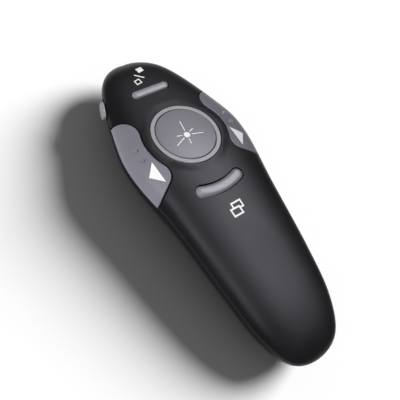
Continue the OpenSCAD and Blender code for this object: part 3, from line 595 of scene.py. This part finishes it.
BLACK = moulded("soft_touch_black", (0.0068, 0.0067, 0.0082), 0.34, specular=0.22)
INNER = moulded("moulded_black", (0.010, 0.010, 0.011), 0.55, 1500.0, 0.2)
PLUM = moulded("key_plum_grey", (0.180, 0.174, 0.205), 0.36, 3600.0, 0.18, 0.05)
DISC = moulded("disc_plum_grey", (0.152, 0.148, 0.168), 0.36, 3600.0, 0.15, 0.05)
RING = moulded("ring_grey", (0.28, 0.278, 0.292), 0.36, 3600.0, 0.12, 0.05)
BAR = moulded("bar_grey", (0.215, 0.212, 0.232), 0.30, 3000.0, 0.10, 0.05)
KNOB = moulded("knob_grey", (0.24, 0.24, 0.25), 0.38, 3000.0, 0.12, 0.05)
PRINT = moulded("white_print", (0.90, 0.90, 0.90), 0.55, 6000.0, 0.15, 0.02)

# ---- Key and button outlines (mm) ----

KEY_GAP, KEY_INNER, KEY_FRONT_R, KEY_REAR_R = 0.25, 13.55, 4.8, 3.7
FRONT_ANGLE, REAR_ANGLE, REAR_EDGE = 23.4, -28.0, -35.0
FAR_X = 30.0  # well beside the body
PILL_R, PILL_HALF, PILL_Y = 1.3, 5.05, 38.2
BOW_R, BOW_MIDDLE, BOW_BEND, BOW_HALF_ANGLE = 1.8, 21.2, 20.0, 19.2
BAR_GAP = 0.2


def polar(r, degrees):
    """Plan point at a radius and an angle."""
    g = math.radians(degrees)
    return np.array([r * math.cos(g), r * math.sin(g)])


def arc(centre, r, a, b, steps=16):
    """Points on an arc from angle a to b, in degrees."""
    return [centre + polar(r, a + (b - a) * i / steps) for i in range(steps + 1)]


def key_outline(grow, side):
    """Plan outline of the right (1) or left (-1) key, grown by a distance."""
    front = polar(KEY_INNER + KEY_FRONT_R, FRONT_ANGLE)
    rear = polar(KEY_INNER + KEY_REAR_R, REAR_ANGLE)
    end = rear + polar(KEY_REAR_R + grow, REAR_EDGE - 90)
    points = [np.array([FAR_X, front[1] + KEY_FRONT_R + grow])]
    points += arc(front, KEY_FRONT_R + grow, 90, 180 + FRONT_ANGLE)
    points += arc(np.zeros(2), KEY_INNER - grow, FRONT_ANGLE - 5, REAR_ANGLE + 5)
    points += arc(rear, KEY_REAR_R + grow, 180 + REAR_ANGLE, 270 + REAR_EDGE)
    slope = math.tan(math.radians(REAR_EDGE))
    points += [np.array([FAR_X, end[1] + (FAR_X - end[0]) * slope])]
    out = np.array(points) + [0, RING_Y]
    return densify(out * [side, 1], 0.15)


def capsule(kind, n=160):
    """Centres and outward directions round a bar's outline, counter-clockwise."""
    if kind == "pill":
        g = np.concatenate([np.linspace(-90, 90, n // 2), np.linspace(90, 270, n // 2)])
        centres = np.where(np.arange(len(g))[:, None] < n // 2,
                           [[PILL_HALF, PILL_Y]], [[-PILL_HALF, PILL_Y]])
        return centres, np.array([polar(1, a) for a in g])
    middle, half = np.array([0, BOW_MIDDLE]), BOW_HALF_ANGLE
    centres, dirs = [], []
    for a in np.linspace(-90 - half, -90 + half, n // 3):
        centres.append(middle + polar(BOW_BEND, a))
        dirs.append(polar(1, a))
    for a in np.linspace(-90 + half, 90 + half, n // 5)[1:-1]:
        centres.append(middle + polar(BOW_BEND, -90 + half))
        dirs.append(polar(1, a))
    for a in np.linspace(-90 + half, -90 - half, n // 3):
        centres.append(middle + polar(BOW_BEND, a))
        dirs.append(-polar(1, a))
    for a in np.linspace(90 - half, 270 - half, n // 5)[1:-1]:
        centres.append(middle + polar(BOW_BEND, -90 - half))
        dirs.append(polar(1, a))
    return np.array(centres), np.array(dirs)


def circle(x, y, r, n=72):
    """Closed loop on a circle."""
    return np.stack([x + r * np.cos(full_turn(n)), y + r * np.sin(full_turn(n))], -1)


# ---- Surfaces ----

RING_SINK, RING_SHORE, RING_FADE, RING_RAISE = 0.06, 10.7, 2.4, 0.25
REST_BLEND = 0.3


def sunk_round_ring(p):
    """Draws the cover's skin to just below the ring's face close to the ring."""
    x, y, z = p[..., 0], p[..., 1], p[..., 2]
    rho = np.hypot(x, (y - RING_Y) / math.cos(RING_TILT))
    f = 1 - smoothstep((rho - RING_SHORE) / RING_FADE)
    z = z + f * np.minimum(ring_plane_z(y) - RING_SINK - z, RING_RAISE)
    return np.stack([x, y, z], -1)


def rest_flat(p):
    """Turns the belly softly into the flat that it rests on."""
    z = 0.5 * (p[..., 2] + np.sqrt(p[..., 2] ** 2 + REST_BLEND**2))
    return np.stack([p[..., 0], p[..., 1], z], -1)


DOTS = [(16.0, 21.6), (16.0, 18.1)]
DOT_R, DOT_HEIGHT = 0.58, 0.42
GROOVE_R, GROOVE_WIDTH, GROOVE_DEPTH = 0.68, 0.13, 0.14
DISH_X, DISH_Y, DISH_HALF_X, DISH_HALF_Y, DISH_DEPTH = 15.2, 15.5, 3.2, 7.5, 0.28


def key_face(p):
    """The keys' skin with a shallow dish and two raised dots, each in a fine groove."""
    x, y, z = p[..., 0], p[..., 1], p[..., 2]
    dish = np.exp(-(((np.abs(x) - DISH_X) / DISH_HALF_X) ** 2 + ((y - DISH_Y) / DISH_HALF_Y) ** 2))
    z = z - DISH_DEPTH * dish
    for dx, dy in DOTS:
        r = np.hypot(np.abs(x) - dx, y - dy)
        dot = np.clip(1 - (r / DOT_R) ** 2, 0, 1)
        groove = np.exp(-(((r - GROOVE_R) / GROOVE_WIDTH) ** 2))
        z = z + DOT_HEIGHT * dot - GROOVE_DEPTH * groove
    return np.stack([x, y, z], -1)


TOP = Skin(True, sunk_round_ring)
KEYS = Skin(True, key_face)
UNDER = Skin(False, rest_flat)


def seam_loop(surface, height):
    """Closed loop round the surface at a height off the seam."""
    t = np.linspace(END, LAST - END, 2400)
    depth = surface.depth(t)
    ok = depth > height
    t, b = t[ok], np.arcsin(np.clip(height / depth[ok], 0, 1) ** (surface.power / 2))
    if surface.upper:
        right, left = surface.at_angle(t, b), surface.at_angle(t, math.pi - b)
    else:
        right, left = surface.at_angle(t, 2 * math.pi - b), surface.at_angle(t, math.pi + b)
    return np.concatenate([right, left[::-1]])


SLOT_Y, SLOT_Z = (37.83, 42.3), (10.85, 12.65)
PAST_SEAM = 0.3  # angle by which openings run past the seam


def slot_polygon(surface, grow):
    """The power switch's slot on the left flank, running past the seam."""
    t = station_at(np.linspace(SLOT_Y[0] - grow, SLOT_Y[1] + grow, 40))
    if surface.upper:
        q = np.clip((SLOT_Z[1] + grow - seam(t)) / crown(t), 0, 1)
        edge = math.pi - np.arcsin(q ** (UP_POWER / 2))
        beyond = np.full(t.shape, math.pi + PAST_SEAM)
    else:
        q = np.clip((seam(t) - SLOT_Z[0] + grow) / belly(t), 0, 1)
        edge = math.pi + np.arcsin(q ** (LOW_POWER / 2))
        beyond = np.full(t.shape, math.pi - PAST_SEAM)
    return densify(np.concatenate([surface.at_angle(t, edge), surface.at_angle(t, beyond)[::-1]]))


BEAM_Z, BEZEL_R, BEZEL_GAP = 8.7, 2.9, 0.05


def nose_station(x, z):
    """Station near the nose at which the body's skin passes through (x, z), by halving."""
    a, b = np.full(np.shape(x), 7.0), np.full(np.shape(x), LAST - 1e-4)
    for _ in range(40):
        m = (a + b) / 2
        up = z >= seam(m)
        p = np.where(up, UP_POWER, LOW_POWER)
        depth = np.where(up, crown(m), belly(m))
        level = np.abs(x / half_w(m)) ** p + np.abs((z - seam(m)) / depth) ** p
        a, b = np.where(level < 1, m, a), np.where(level < 1, b, m)
    return (a + b) / 2


def nose_polygon(surface, r):
    """The laser opening at the nose, open towards the tip."""
    g = np.linspace(0, 2 * math.pi, 400)
    x, z = r * np.cos(g), BEAM_Z + r * np.sin(g)
    t = nose_station(x, z)
    up = z >= seam(t)
    keep = up if surface.upper else ~up
    x, z, t = x[keep], z[keep], t[keep]
    q = np.clip(np.abs(z - seam(t)) / surface.depth(t), 0, 1)
    b = np.arcsin(q ** (surface.power / 2))
    if surface.upper:
        a = np.where(x > 0, b, math.pi - b)
    else:
        a = np.where(x > 0, 2 * math.pi - b, math.pi + b)
    uv = surface.at_angle(t, a)
    uv = uv[np.argsort(uv[:, 0])]
    wide, far = uv[-1, 0] + 1, surface.v[-1] + 4
    before, after = [[-wide, far], [-wide, uv[0, 1]]], [[wide, uv[-1, 1]], [wide, far]]
    return densify(np.concatenate([before, uv, after]))


# ---- Upper cover ----

RIM, BAR_RIM, DOOR_RIM, KEY_RIM = 0.25, 0.05, 0.2, 0.3
loop = densify(seam_loop(TOP, SEAM_HALF + RIM))
loop = combine(loop, nose_polygon(TOP, BEZEL_R + BEZEL_GAP + RIM), False)
for side in (1, -1):
    loop = combine(loop, densify(TOP.from_plan(key_outline(KEY_GAP + RIM, side))), False)
loop = combine(loop, slot_polygon(TOP, RIM), False)
top_loop = resample(loop, TOP, 0.4)

RING_GAP = 0.05
ring_hole = circle(0, 0, RING_R + RING_GAP + RIM, 160) * [1, math.cos(RING_TILT)] + [0, RING_Y]
ring_hole = TOP.from_plan(ring_hole)
pill_c, pill_d = capsule("pill")
bow_c, bow_d = capsule("bow")
pill_hole = resample(TOP.from_plan(pill_c + (PILL_R + BAR_GAP + BAR_RIM) * pill_d), TOP, 0.25, 1)
bow_hole = resample(TOP.from_plan(bow_c + (BOW_R + BAR_GAP + BAR_RIM) * bow_d), TOP, 0.25, 1)

top = Sheet()
top.fill(TOP, top_loop, [ring_hole, pill_hole, bow_hole], 1.0)
top.rim(TOP, top_loop, False)
top.rim(TOP, ring_hole, True)
top.rim(TOP, pill_hole, True, BAR_RIM, upright=True)
top.rim(TOP, bow_hole, True, BAR_RIM, upright=True)
top.add_inner("top_cover", off_skin)
top.make("upper_shell", BLACK, "case", "body_black", "top_cover")

# ---- Lower cover ----

DOOR_FRONT, DOOR_HALF, DOOR_RISE, DOOR_GAP = 2.4, 9.2, 5.0, 0.2
POCKET_HALF, POCKET_Y = 7.6, (4.7, 26.6)
SCOOP_Y, SCOOP_R = 9.5, 2.6
SCREW_R, SCREW_PLACES = 2.1, ((9.3, 32.0), (13.4, -3.8))


def door_loop(grow):
    """Outline of the door, or of its opening, on the belly."""
    t = np.linspace(END, station_at(DOOR_FRONT + grow), 900)
    rise = (seam(t) - (DOOR_RISE + grow)) / belly(t)
    ok = rise < 1
    t, rise = t[ok], rise[ok]
    breadth = np.clip((DOOR_HALF + grow) / half_w(t), 0, 1)
    by_width = math.pi / 2 - np.arccos(breadth ** (LOW_POWER / 2))
    by_height = math.pi / 2 - np.arcsin(np.clip(rise, 0, 1) ** (LOW_POWER / 2))
    off = np.minimum(by_width, by_height)
    right, left = UNDER.at_angle(t, 1.5 * math.pi + off), UNDER.at_angle(t, 1.5 * math.pi - off)
    return densify(np.concatenate([right, left[::-1]]))


def pocket_outline(grow):
    """Outline of the receiver's bay with the finger scoop at its side."""
    half, y0, y1 = POCKET_HALF + grow, POCKET_Y[0] - grow, POCKET_Y[1] + grow
    box = densify(np.array([[-half, y0], [half, y0], [half, y1], [-half, y1]]), 0.1)
    scoop = densify(circle(POCKET_HALF, SCOOP_Y, SCOOP_R + grow), 0.1)
    return UNDER.from_plan(join(run(box, ~inside(box, scoop)), run(scoop, ~inside(scoop, box))))


loop = densify(seam_loop(UNDER, SEAM_HALF + RIM))
loop = combine(loop, nose_polygon(UNDER, BEZEL_R + BEZEL_GAP + RIM), False)
loop = combine(loop, slot_polygon(UNDER, RIM), False)
under_loop = resample(loop, UNDER, 0.4)
door_hole = resample(door_loop(DOOR_GAP + RIM), UNDER, 0.35)
pocket_hole = resample(pocket_outline(RIM), UNDER, 0.35)
screw_holes = [resample(UNDER.from_plan(circle(s * x, y, SCREW_R + RIM)), UNDER, 0.3, 0)
               for x, y in SCREW_PLACES for s in (1, -1)]

under = Sheet()
under.fill(UNDER, under_loop, [door_hole, pocket_hole, *screw_holes], 1.1)
under.rim(UNDER, under_loop, False)
under.rim(UNDER, door_hole, True, depth=0.2, upright=True)
under.rim(UNDER, pocket_hole, True, upright=True)
for hole in screw_holes:
    under.rim(UNDER, hole, True, upright=True)
under.add_inner("bottom_cover", off_skin)
under.make("lower_shell", BLACK, "case", "body_black", "bottom_cover")

# ---- Battery door ----

GRIP_Y, GRIP_STEP, GRIP_WIDTH, GRIP_DEPTH = 2.95, 1.6, 0.34, 0.3
GRIP_HALF, GRIP_FADE = 4.0, 0.18


def door_face(p):
    """The belly with five thumb grooves across the door."""
    p = rest_flat(p)
    x, y, z = p[..., 0], p[..., 1], p[..., 2]
    groove = np.zeros(np.shape(x))
    for i in range(5):
        off = (y + GRIP_Y + GRIP_STEP * i) / GRIP_WIDTH
        groove = np.maximum(groove, np.exp(-(off**2) ** 1.5))
    edge = 1 / (1 + np.exp((np.abs(x) - GRIP_HALF) / GRIP_FADE))
    return np.stack([x, y, z + GRIP_DEPTH * groove * edge], -1)


def around_grip(c):
    """Whether face centres lie on the solid door's own grooves."""
    return (np.abs(c[:, 0]) < GRIP_HALF + 0.05) & (c[:, 2] < 0.35) & (c[:, 1] < -2.4)


DOOR = Skin(False, door_face)
door_edge = resample(door_loop(-DOOR_RIM), DOOR, 0.35)
door = Sheet()
# A finer grid under the grooves: its centre, radius and step
grip = [((0.0, float(np.interp(-GRIP_Y - 2 * GRIP_STEP, Y_TABLE, DOOR.v))), 5.4, 0.2)]
door.fill(DOOR, door_edge, [], 1.0, grip)
door.rim(DOOR, door_edge, False, DOOR_RIM, 0.12, upright=True)
door.add_inner("battery_door", lambda c, n: off_skin(c, n) & ~around_grip(c))
door.make("sliding_door", BLACK, "battery_door_body", "body_black", "battery_door")

# ---- Page keys ----

KEY_LIFT = 0.4  # height of a key's lower edge over the seam's middle
for side, name in ((1, "next_page_key"), (-1, "previous_page_key")):
    edge = combine(densify(KEYS.from_plan(key_outline(-KEY_RIM, side))),
                   densify(seam_loop(KEYS, KEY_LIFT + KEY_RIM)), True)
    edge = resample(edge, KEYS, 0.35)
    dots = [(KEYS.from_plan([[side * x, y]])[0], 1.05, 0.09) for x, y in DOTS]
    key = Sheet()
    key.fill(KEYS, edge, [], 0.8, dots)
    key.rim(KEYS, edge, False, KEY_RIM)
    key.add_inner(name, off_skin)
    key.make(name.replace("_key", "_wing"), PLUM, name + "_body", "key_plum", name)

# ---- Ring and round button ----

AT_RING = Matrix.Translation((0, RING_Y, RING_Z)) @ Matrix.Rotation(-RING_TILT, 4, "X")


def rounded(r, h, radius, start, sweep, steps=5):
    """Rows round a corner: its centre, radius, first angle and sweep in degrees."""
    rows = []
    for i in range(steps + 1):
        a = math.radians(start + sweep * i / steps)
        rows.append((r + radius * math.cos(a), h + radius * math.sin(a), math.cos(a), math.sin(a)))
    return rows


def walls(points):
    """Rows of a sharp-edged profile, each stretch with its own normal."""
    rows = []
    for (r0, h0), (r1, h1) in zip(points, points[1:]):
        length = math.hypot(r1 - r0, h1 - h0)
        n = ((h1 - h0) / length, -(r1 - r0) / length)
        rows += [(r0, h0, *n), (r1, h1, *n)]
    return rows


RING_WIDTH, RING_DEPTH, RING_OUTER_RIM, RING_INNER_RIM = 1.3, 1.2, 0.25, 0.2
bore = RING_R - RING_WIDTH
ring = Sheet()
profile = walls([(bore, -RING_DEPTH), (RING_R, -RING_DEPTH)])
profile += rounded(RING_R - RING_OUTER_RIM, -RING_OUTER_RIM, RING_OUTER_RIM, 0, 90)
profile += rounded(bore + RING_INNER_RIM, -RING_INNER_RIM, RING_INNER_RIM, 90, 90)
profile += [(bore, -RING_DEPTH, -1, 0)]
ring.lathe(profile, AT_RING)
ring.make("thumb_ring", RING, "case", "ring_grey", "laser_ring")

DISC_R, DISC_RIM, DOME = bore - 0.2, 0.25, 0.40
DISC_SECTION = [  # from the disc's flank over its skirt to the middle of its post
    (DISC_R, -2.4), (10.25, -2.4), (10.25, -3.1), (8.2, -3.1), (8.2, -1.4), (1.4, -1.4),
    (1.4, -3.75)]


def dome(u, v):
    """Height of the disc's face over the ring's plane."""
    return DOME * (1 - (np.hypot(u, v) / DISC_R) ** 2) - LIFT


disc = Sheet()
profile = [(r, float(dome(r, 0.0)), 2 * DOME * r / DISC_R**2, 1.0)
           for r in np.linspace(0, DISC_R - DISC_RIM, 24)]
profile += rounded(DISC_R - DISC_RIM, -LIFT - DISC_RIM, DISC_RIM, 90, -90)
profile += [(*DISC_SECTION[0], 1, 0)]
profile += [(r, h, -a, -b) for r, h, a, b in walls(DISC_SECTION)]
disc.lathe(profile, AT_RING)
disc.make("thumb_disc", DISC, "laser_button_body", "button_plum", "laser_button")

# ---- Bars ----

BAR_POWER = 2.7  # the section is squarer than a circle
BAR_SWELL = 0.07  # and this much wider than the solid's


def bar(node, name, centres, dirs, radius, crest, body):
    """A bar with a flattened crest and rounded flanks."""
    sheet = Sheet()
    rows, normals = [], []
    for s in range(13):
        f = math.radians(90 * s / 12)
        c, d = abs(math.cos(f)) ** (2 / BAR_POWER), math.sin(f) ** (2 / BAR_POWER)
        rows.append(np.concatenate([centres + (radius + BAR_SWELL) * c * dirs,
                                    np.full((len(dirs), 1), crest - radius + radius * d)], 1))
        c, d = c ** (BAR_POWER - 1), d ** (BAR_POWER - 1)
        normals.append(np.concatenate([dirs * c, np.full((len(dirs), 1), d)], 1))
    sheet.strip(rows, normals)
    sheet.add_inner(node, lambda c, n: c[:, 2] < crest - radius - 0.005)
    sheet.make(name, BAR, body, "button_grey", node)


PILL_CREST = float(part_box("black_screen_button")[1].z / MM)
BOW_CREST = float(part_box("window_button")[1].z / MM)
bar("black_screen_button", "front_bar", pill_c, pill_d, PILL_R, PILL_CREST,
    "black_screen_button_body")
bar("window_button", "rear_bar", bow_c, bow_d, BOW_R, BOW_CREST, "window_button_body")

# ---- Power knob ----

KNOB_Y, KNOB_Z = 39.0, 12.3
KNOB_LONG, KNOB_TALL, KNOB_OUT, KNOB_FOOT = 2.8, 1.4, 1.08, 0.2
CORNERS, SHOULDER = 3.2, 2.6  # powers of the knob's outline and of its flanks
RIB_PLACES, RIB_WIDTH, RIB_DEPTH = (-1.2, -0.4, 0.4, 1.2), 0.2, 0.13
knob_t = station_at(KNOB_Y)
knob_turn = math.atan(float(half_w(station_at(KNOB_Y - 1)) - half_w(station_at(KNOB_Y + 1))) / 2)
AT_KNOB = (Matrix.Translation((-float(half_w(knob_t)), KNOB_Y, KNOB_Z))
           @ Matrix.Rotation(-knob_turn, 4, "Z"))


def knob_point(s, g):
    """s runs from the knob's foot, 0, to its crest, 1, and g round it."""
    c, d = np.cos(g), np.sin(g)
    flat = (np.abs(c) ** CORNERS + np.abs(d) ** CORNERS) ** (-1 / CORNERS)
    reach = (1 - s**SHOULDER) ** (1 / SHOULDER)
    y, z = KNOB_LONG * reach * flat * c, KNOB_TALL * reach * flat * d
    ribs = RIB_DEPTH * sum(np.exp(-(((y - k) / RIB_WIDTH) ** 2)) for k in RIB_PLACES)
    height = KNOB_OUT * (1 - (1 - s) ** 2.2) ** 0.6
    height = height * (1 - 0.16 * (y / KNOB_LONG) ** 2) - ribs * smoothstep(height / 0.8)
    return np.stack([-KNOB_FOOT - height, y, z], -1)


ROUND = full_turn(96)
knob = Sheet()
rows, normals = [], []
for s in np.concatenate([[0], 1 - np.linspace(1, 0, 22) ** 1.6])[1:]:
    s = min(max(s, 0.0), 0.9995)
    p = knob_point(s, ROUND)
    e = 1e-3
    dg = knob_point(s, ROUND + e) - knob_point(s, ROUND - e)
    ds = knob_point(min(s + e, 0.9999), ROUND) - knob_point(max(s - e, 0), ROUND)
    n = unit(np.cross(dg, ds))
    outward = np.sign((n * (p - [1.0, 0, 0])).sum(1, keepdims=True))
    rows.append(moved(p, AT_KNOB))
    normals.append(turned(n * outward, AT_KNOB))
knob.strip(rows, normals)
foot = knob_point(0.0, ROUND)
inward = np.tile(np.array(AT_KNOB)[:3, 0], (len(ROUND), 1))
knob.strip([moved(foot, AT_KNOB), moved(foot * [1, 0.3, 0.3], AT_KNOB)], [inward, inward])
# The stem behind the foot is the solid's own
knob.add_inner("power_slide_knob", lambda c, n: moved(c, AT_KNOB.inverted())[:, 0] > -0.15)
knob.make("slide_grip", KNOB, "power_slider", "knob_grey", "power_slide_knob")

# ---- Laser opening ----

BEZEL = moulded("bezel_black", (0.02, 0.02, 0.021), 0.28, 2500.0, 0.08)
BEZEL_FOOT = 46.7


def bezel_row(r, y=None, back=0.0):
    """Points round the opening, at y or at a distance back from the body's skin."""
    x, z = r * np.cos(ROUND), BEAM_Z + r * np.sin(ROUND)
    front = along(nose_station(x, z)) - back if y is None else np.full(ROUND.shape, y)
    return np.stack([x, front, z], -1)


radial = np.stack([np.cos(ROUND), 0 * ROUND, np.sin(ROUND)], -1)
ahead = np.tile([0, 1.0, 0], (len(ROUND), 1))
outer_foot, outer_lip = bezel_row(BEZEL_R, BEZEL_FOOT), bezel_row(BEZEL_R, back=0.22)
inner_foot, inner_lip = bezel_row(2.0, BEZEL_FOOT), bezel_row(2.02, back=0.3)
bezel = Sheet()
bezel.strip([outer_foot, outer_lip], [radial, radial])
bezel.strip([outer_lip, bezel_row(2.72, back=0.04), bezel_row(2.2, back=0.05), inner_lip],
            [radial + 0.2 * ahead, 0.5 * radial + ahead, ahead - 0.4 * radial,
             0.3 * ahead - radial])
bezel.strip([inner_lip, inner_foot], [-radial, -radial])
bezel.strip([inner_foot, outer_foot], [-ahead, -ahead])
bezel.make("laser_bezel", BEZEL, "case", "bezel_black", "aperture_bezel")

# ---- Finishes of the CAD pieces that keep their shape ----

FINISH = {
    "body_black": INNER,
    "ring_grey": RING,
    "button_plum": DISC,
    "key_plum": PLUM,
    "button_grey": BAR,
    "knob_grey": KNOB,
    "bezel_black": BEZEL,
    "window_red": clear("window_red", (0.55, 0.02, 0.03), 0.10, 0.75),
    "barrel_brass": brushed("barrel_brass", (0.72, 0.52, 0.22), 0.30, (1, 1, 1)),
    "lens_clear": clear("lens_clear", (0.92, 0.95, 0.97), 0.04, 0.95),
    "diode_gold": brushed("diode_gold", (0.83, 0.62, 0.27), 0.25, (1, 1, 1)),
    "board_green": moulded("board_green", (0.012, 0.10, 0.045), 0.35, 1200.0, 0.3, 0.25),
    "switch_black": moulded("switch_black", (0.02, 0.02, 0.02), 0.45, 2000.0),
    "plunger_white": moulded("plunger_white", (0.78, 0.77, 0.74), 0.42, 2500.0),
    "switch_steel": brushed("switch_steel", (0.62, 0.62, 0.63), 0.30),
    "chip_black": moulded("chip_black", (0.018, 0.018, 0.02), 0.52, 3000.0, 0.35),
    "ferrite_grey": moulded("ferrite_grey", (0.09, 0.09, 0.095), 0.60, 1800.0, 0.45),
    "capacitor_tan": moulded("capacitor_tan", (0.42, 0.27, 0.14), 0.40, 2500.0),
    "trace_copper": brushed("trace_copper", (0.80, 0.42, 0.25), 0.30, (1, 1, 1)),
    "cell_steel": brushed("cell_steel", (0.66, 0.66, 0.66), 0.24, (12, 1, 12)),
    "sleeve_green": moulded("sleeve_green", (0.03, 0.22, 0.09), 0.28, 700.0, 0.08, 0.1),
    "contact_nickel": brushed("contact_nickel", (0.72, 0.71, 0.68), 0.22, (1, 1, 1)),
    "lead_black": moulded("lead_black", (0.015, 0.015, 0.015), 0.50, 900.0, 0.3),
    "receiver_black": moulded("receiver_black", (0.014, 0.014, 0.015), 0.42, 3000.0, 0.2),
    "plug_steel": brushed("plug_steel", (0.70, 0.70, 0.71), 0.22, (1, 1, 14)),
    "tongue_white": PRINT,
    "screw_black": moulded("screw_black", (0.03, 0.03, 0.03), 0.35, 2000.0, 0.2, 0.1, 0.6),
    "screw_steel": brushed("screw_steel", (0.60, 0.60, 0.61), 0.28, (1, 1, 1)),
}

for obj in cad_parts.values():
    for s in obj.material_slots:
        name = s.material.name.split(".")[0] if s.material else ""
        s.link = "OBJECT"
        s.material = FINISH[name]

# ---- Printed symbols ----


def printed(name, surface, body, shapes, plan=True):
    """White print on a surface, from shapes that are an outline and its holes.

    The shapes lie in plan, or else in the surface's own (u, v).
    """
    sheet = Sheet()
    for outer, *holes in shapes:
        loops = []
        for loop in (outer, *holes):
            loop = densify(loop, 0.1)
            loops.append(surface.from_plan(loop) if plan else loop)
        sheet.fill(surface, loops[0], loops[1:], 0.45, offset=LIFT)
    sheet.make(name, PRINT, body, "tongue_white")


def inset(loop, by):
    """The loop of a convex shape moved in by a distance."""
    loop = np.asarray(loop, float)
    if area(loop) < 0:
        loop = loop[::-1]
    out = []
    for i in range(len(loop)):
        a, b, c = loop[i - 1], loop[i], loop[(i + 1) % len(loop)]
        d, e = (b - a) / np.linalg.norm(b - a), (c - b) / np.linalg.norm(c - b)
        n, k = np.array([-d[1], d[0]]), np.array([-e[1], e[0]])
        out.append(b + by * (n + k) / (1 + n @ k))
    return np.array(out)


def stroke(a, b, width):
    """Four corners of a straight line of a width."""
    a, b = np.array(a, float), np.array(b, float)
    d = (b - a) / np.linalg.norm(b - a)
    n = np.array([-d[1], d[0]]) * width / 2
    return np.array([a + n, a - n, b - n, b + n])


square = [(-0.58, 43.75), (-0.46, 41.84), (-2.58, 41.48), (-2.60, 43.38)]
printed("screen_symbol", TOP, "case", [
    [[(3.08, 48.04), (3.08, 46.21), (0.93, 45.70), (0.91, 47.74)]],
    [stroke((-1.0, 45.57), (1.22, 43.38), 0.45)],
    [square, inset(square, 0.35)],
])
front_frame = [(-2.21, -5.88), (1.31, -5.85), (1.56, -8.48), (-2.10, -8.55)]
printed("window_symbol", TOP, "case", [
    [front_frame, inset(front_frame, 0.52)],
    [[(-1.10, -4.35), (2.64, -4.31), (2.67, -6.83), (1.42, -6.86), (1.38, -6.33), (2.15, -6.31),
      (2.12, -4.83), (-0.58, -4.87), (-0.56, -5.86), (-1.07, -5.87)]],
])
printed("back_arrow", KEYS, "previous_page_key_body",
        [[[(-14.39, 16.33), (-17.39, 12.76), (-14.09, 9.43)]]])
printed("forward_arrow", KEYS, "next_page_key_body",
        [[[(14.07, 16.55), (17.43, 13.04), (14.39, 9.58)]]])

RAY_WIDTH, RAY_START, RAY_LONG, RAY_SHORT, HUB_R = 0.26, 1.5, 5.2, 3.2, 0.95


def on_disc(x, y):
    """Place on the disc's face under a plan point."""
    return np.array([x, (y - RING_Y) / math.cos(RING_TILT)])


hub = on_disc(-0.4, 19.2)
rays = []
for x, y in ((0.71, 24.7), (4.69, 17.8), (-5.68, 17.05)):
    way = on_disc(x, y) - hub
    way /= np.linalg.norm(way)
    rays.append([stroke(hub + RAY_START * way, hub + RAY_LONG * way, RAY_WIDTH)])
    rays.append([stroke(hub - RAY_START * way, hub - RAY_SHORT * way, RAY_WIDTH)])
printed("beam_symbol", Plane(dome, AT_RING), "laser_button_body",
        [[hub + circle(0, 0, HUB_R, 40)], *rays], False)

# ---- Floor, camera and light ----

bpy.ops.mesh.primitive_plane_add(size=4, location=(0, 0, 0))
floor = bpy.context.object
floor.name = "floor"
paper, nt, bsdf = node_material("white_paper")
grain = speckle(nt, 40.0)
shade = ramp(nt, grain.outputs["Fac"], (0.962, 0.962, 0.962), (0.97, 0.97, 0.97))
nt.links.new(shade.outputs["Color"], bsdf.inputs["Base Color"])
bsdf.inputs["Roughness"].default_value = 0.9
bsdf.inputs["Specular IOR Level"].default_value = 0.0
floor.data.materials.append(paper)

# The camera's own axes and place, solved from the photo
view_right = Vector((0.77694, -0.54703, 0.31164))
view_down = Vector((-0.40324, -0.81252, -0.42096))
view_ahead = Vector((0.4835, 0.2014, -0.85186))
cam = bpy.data.cameras.new("camera")
cam.lens, cam.sensor_width = 49.5, 36.0
cam.clip_start = 0.01
camera = bpy.data.objects.new("camera", cam)
bpy.context.scene.collection.objects.link(camera)
pose = Matrix((view_right, -view_down, -view_ahead)).transposed().to_4x4()
pose.translation = Vector((-81.621, -29.961, 147.382)) * MM
camera.matrix_world = pose
bpy.context.scene.camera = camera

world = bpy.data.worlds.new("room")
bpy.context.scene.world = world
world.use_nodes = True
sky = world.node_tree.nodes["Background"]
sky.inputs["Color"].default_value = (1, 1, 1, 1)
sky.inputs["Strength"].default_value = 0.12


def lights_only(lamp_object, state):
    """The lamp lights the floor alone (INCLUDE), or everything but the floor (EXCLUDE)."""
    group = bpy.data.collections.new(lamp_object.name + "_receivers")
    group.objects.link(floor)
    group.collection_objects[0].light_linking.link_state = state
    lamp_object.light_linking.receiver_collection = group


def lamp(kind, name, direction, strength, state):
    """A lamp half a metre off the origin that shines at it."""
    data = bpy.data.lights.new(name, kind)
    data.energy = strength
    obj = bpy.data.objects.new(name, data)
    bpy.context.scene.collection.objects.link(obj)
    towards = Vector(direction).normalized()
    m = towards.to_track_quat("Z", "Y").to_matrix().to_4x4()
    m.translation = towards * 0.5
    obj.matrix_world = m
    lights_only(obj, state)
    return obj


# The photo's shadow falls to one side while its soft light on the clicker comes from the other
for name, direction, strength, angle, state in (
        ("shadow_light", (0.84, -0.10, 0.53), 5.45, 30.0, "INCLUDE"),
        ("soft_light", (-0.66, 0.06, 0.75), 3.3, 40.0, "EXCLUDE")):
    sun = lamp("SUN", name, direction, strength, state)
    sun.data.angle = math.radians(angle)
    sun.visible_glossy = False

# These are seen only as reflections in the clicker
for name, direction, strength, size in (
        ("overhead_softbox", (0.49, 0.07, 0.87), 2.1, (0.50, 0.145)),
        ("side_strip", (-0.13, -0.04, 1.0), 0.75, (0.40, 0.055)),
        ("front_softbox", (0.47, 0.60, 0.65), 0.22, (0.30, 0.16))):
    box = lamp("AREA", name, direction, strength, "EXCLUDE")
    box.data.shape = "RECTANGLE"
    box.data.size, box.data.size_y = size
    box.data.color = (0.92, 0.90, 1.0)
    box.visible_diffuse = False

view = bpy.context.scene.view_settings
view.view_transform = "Standard"
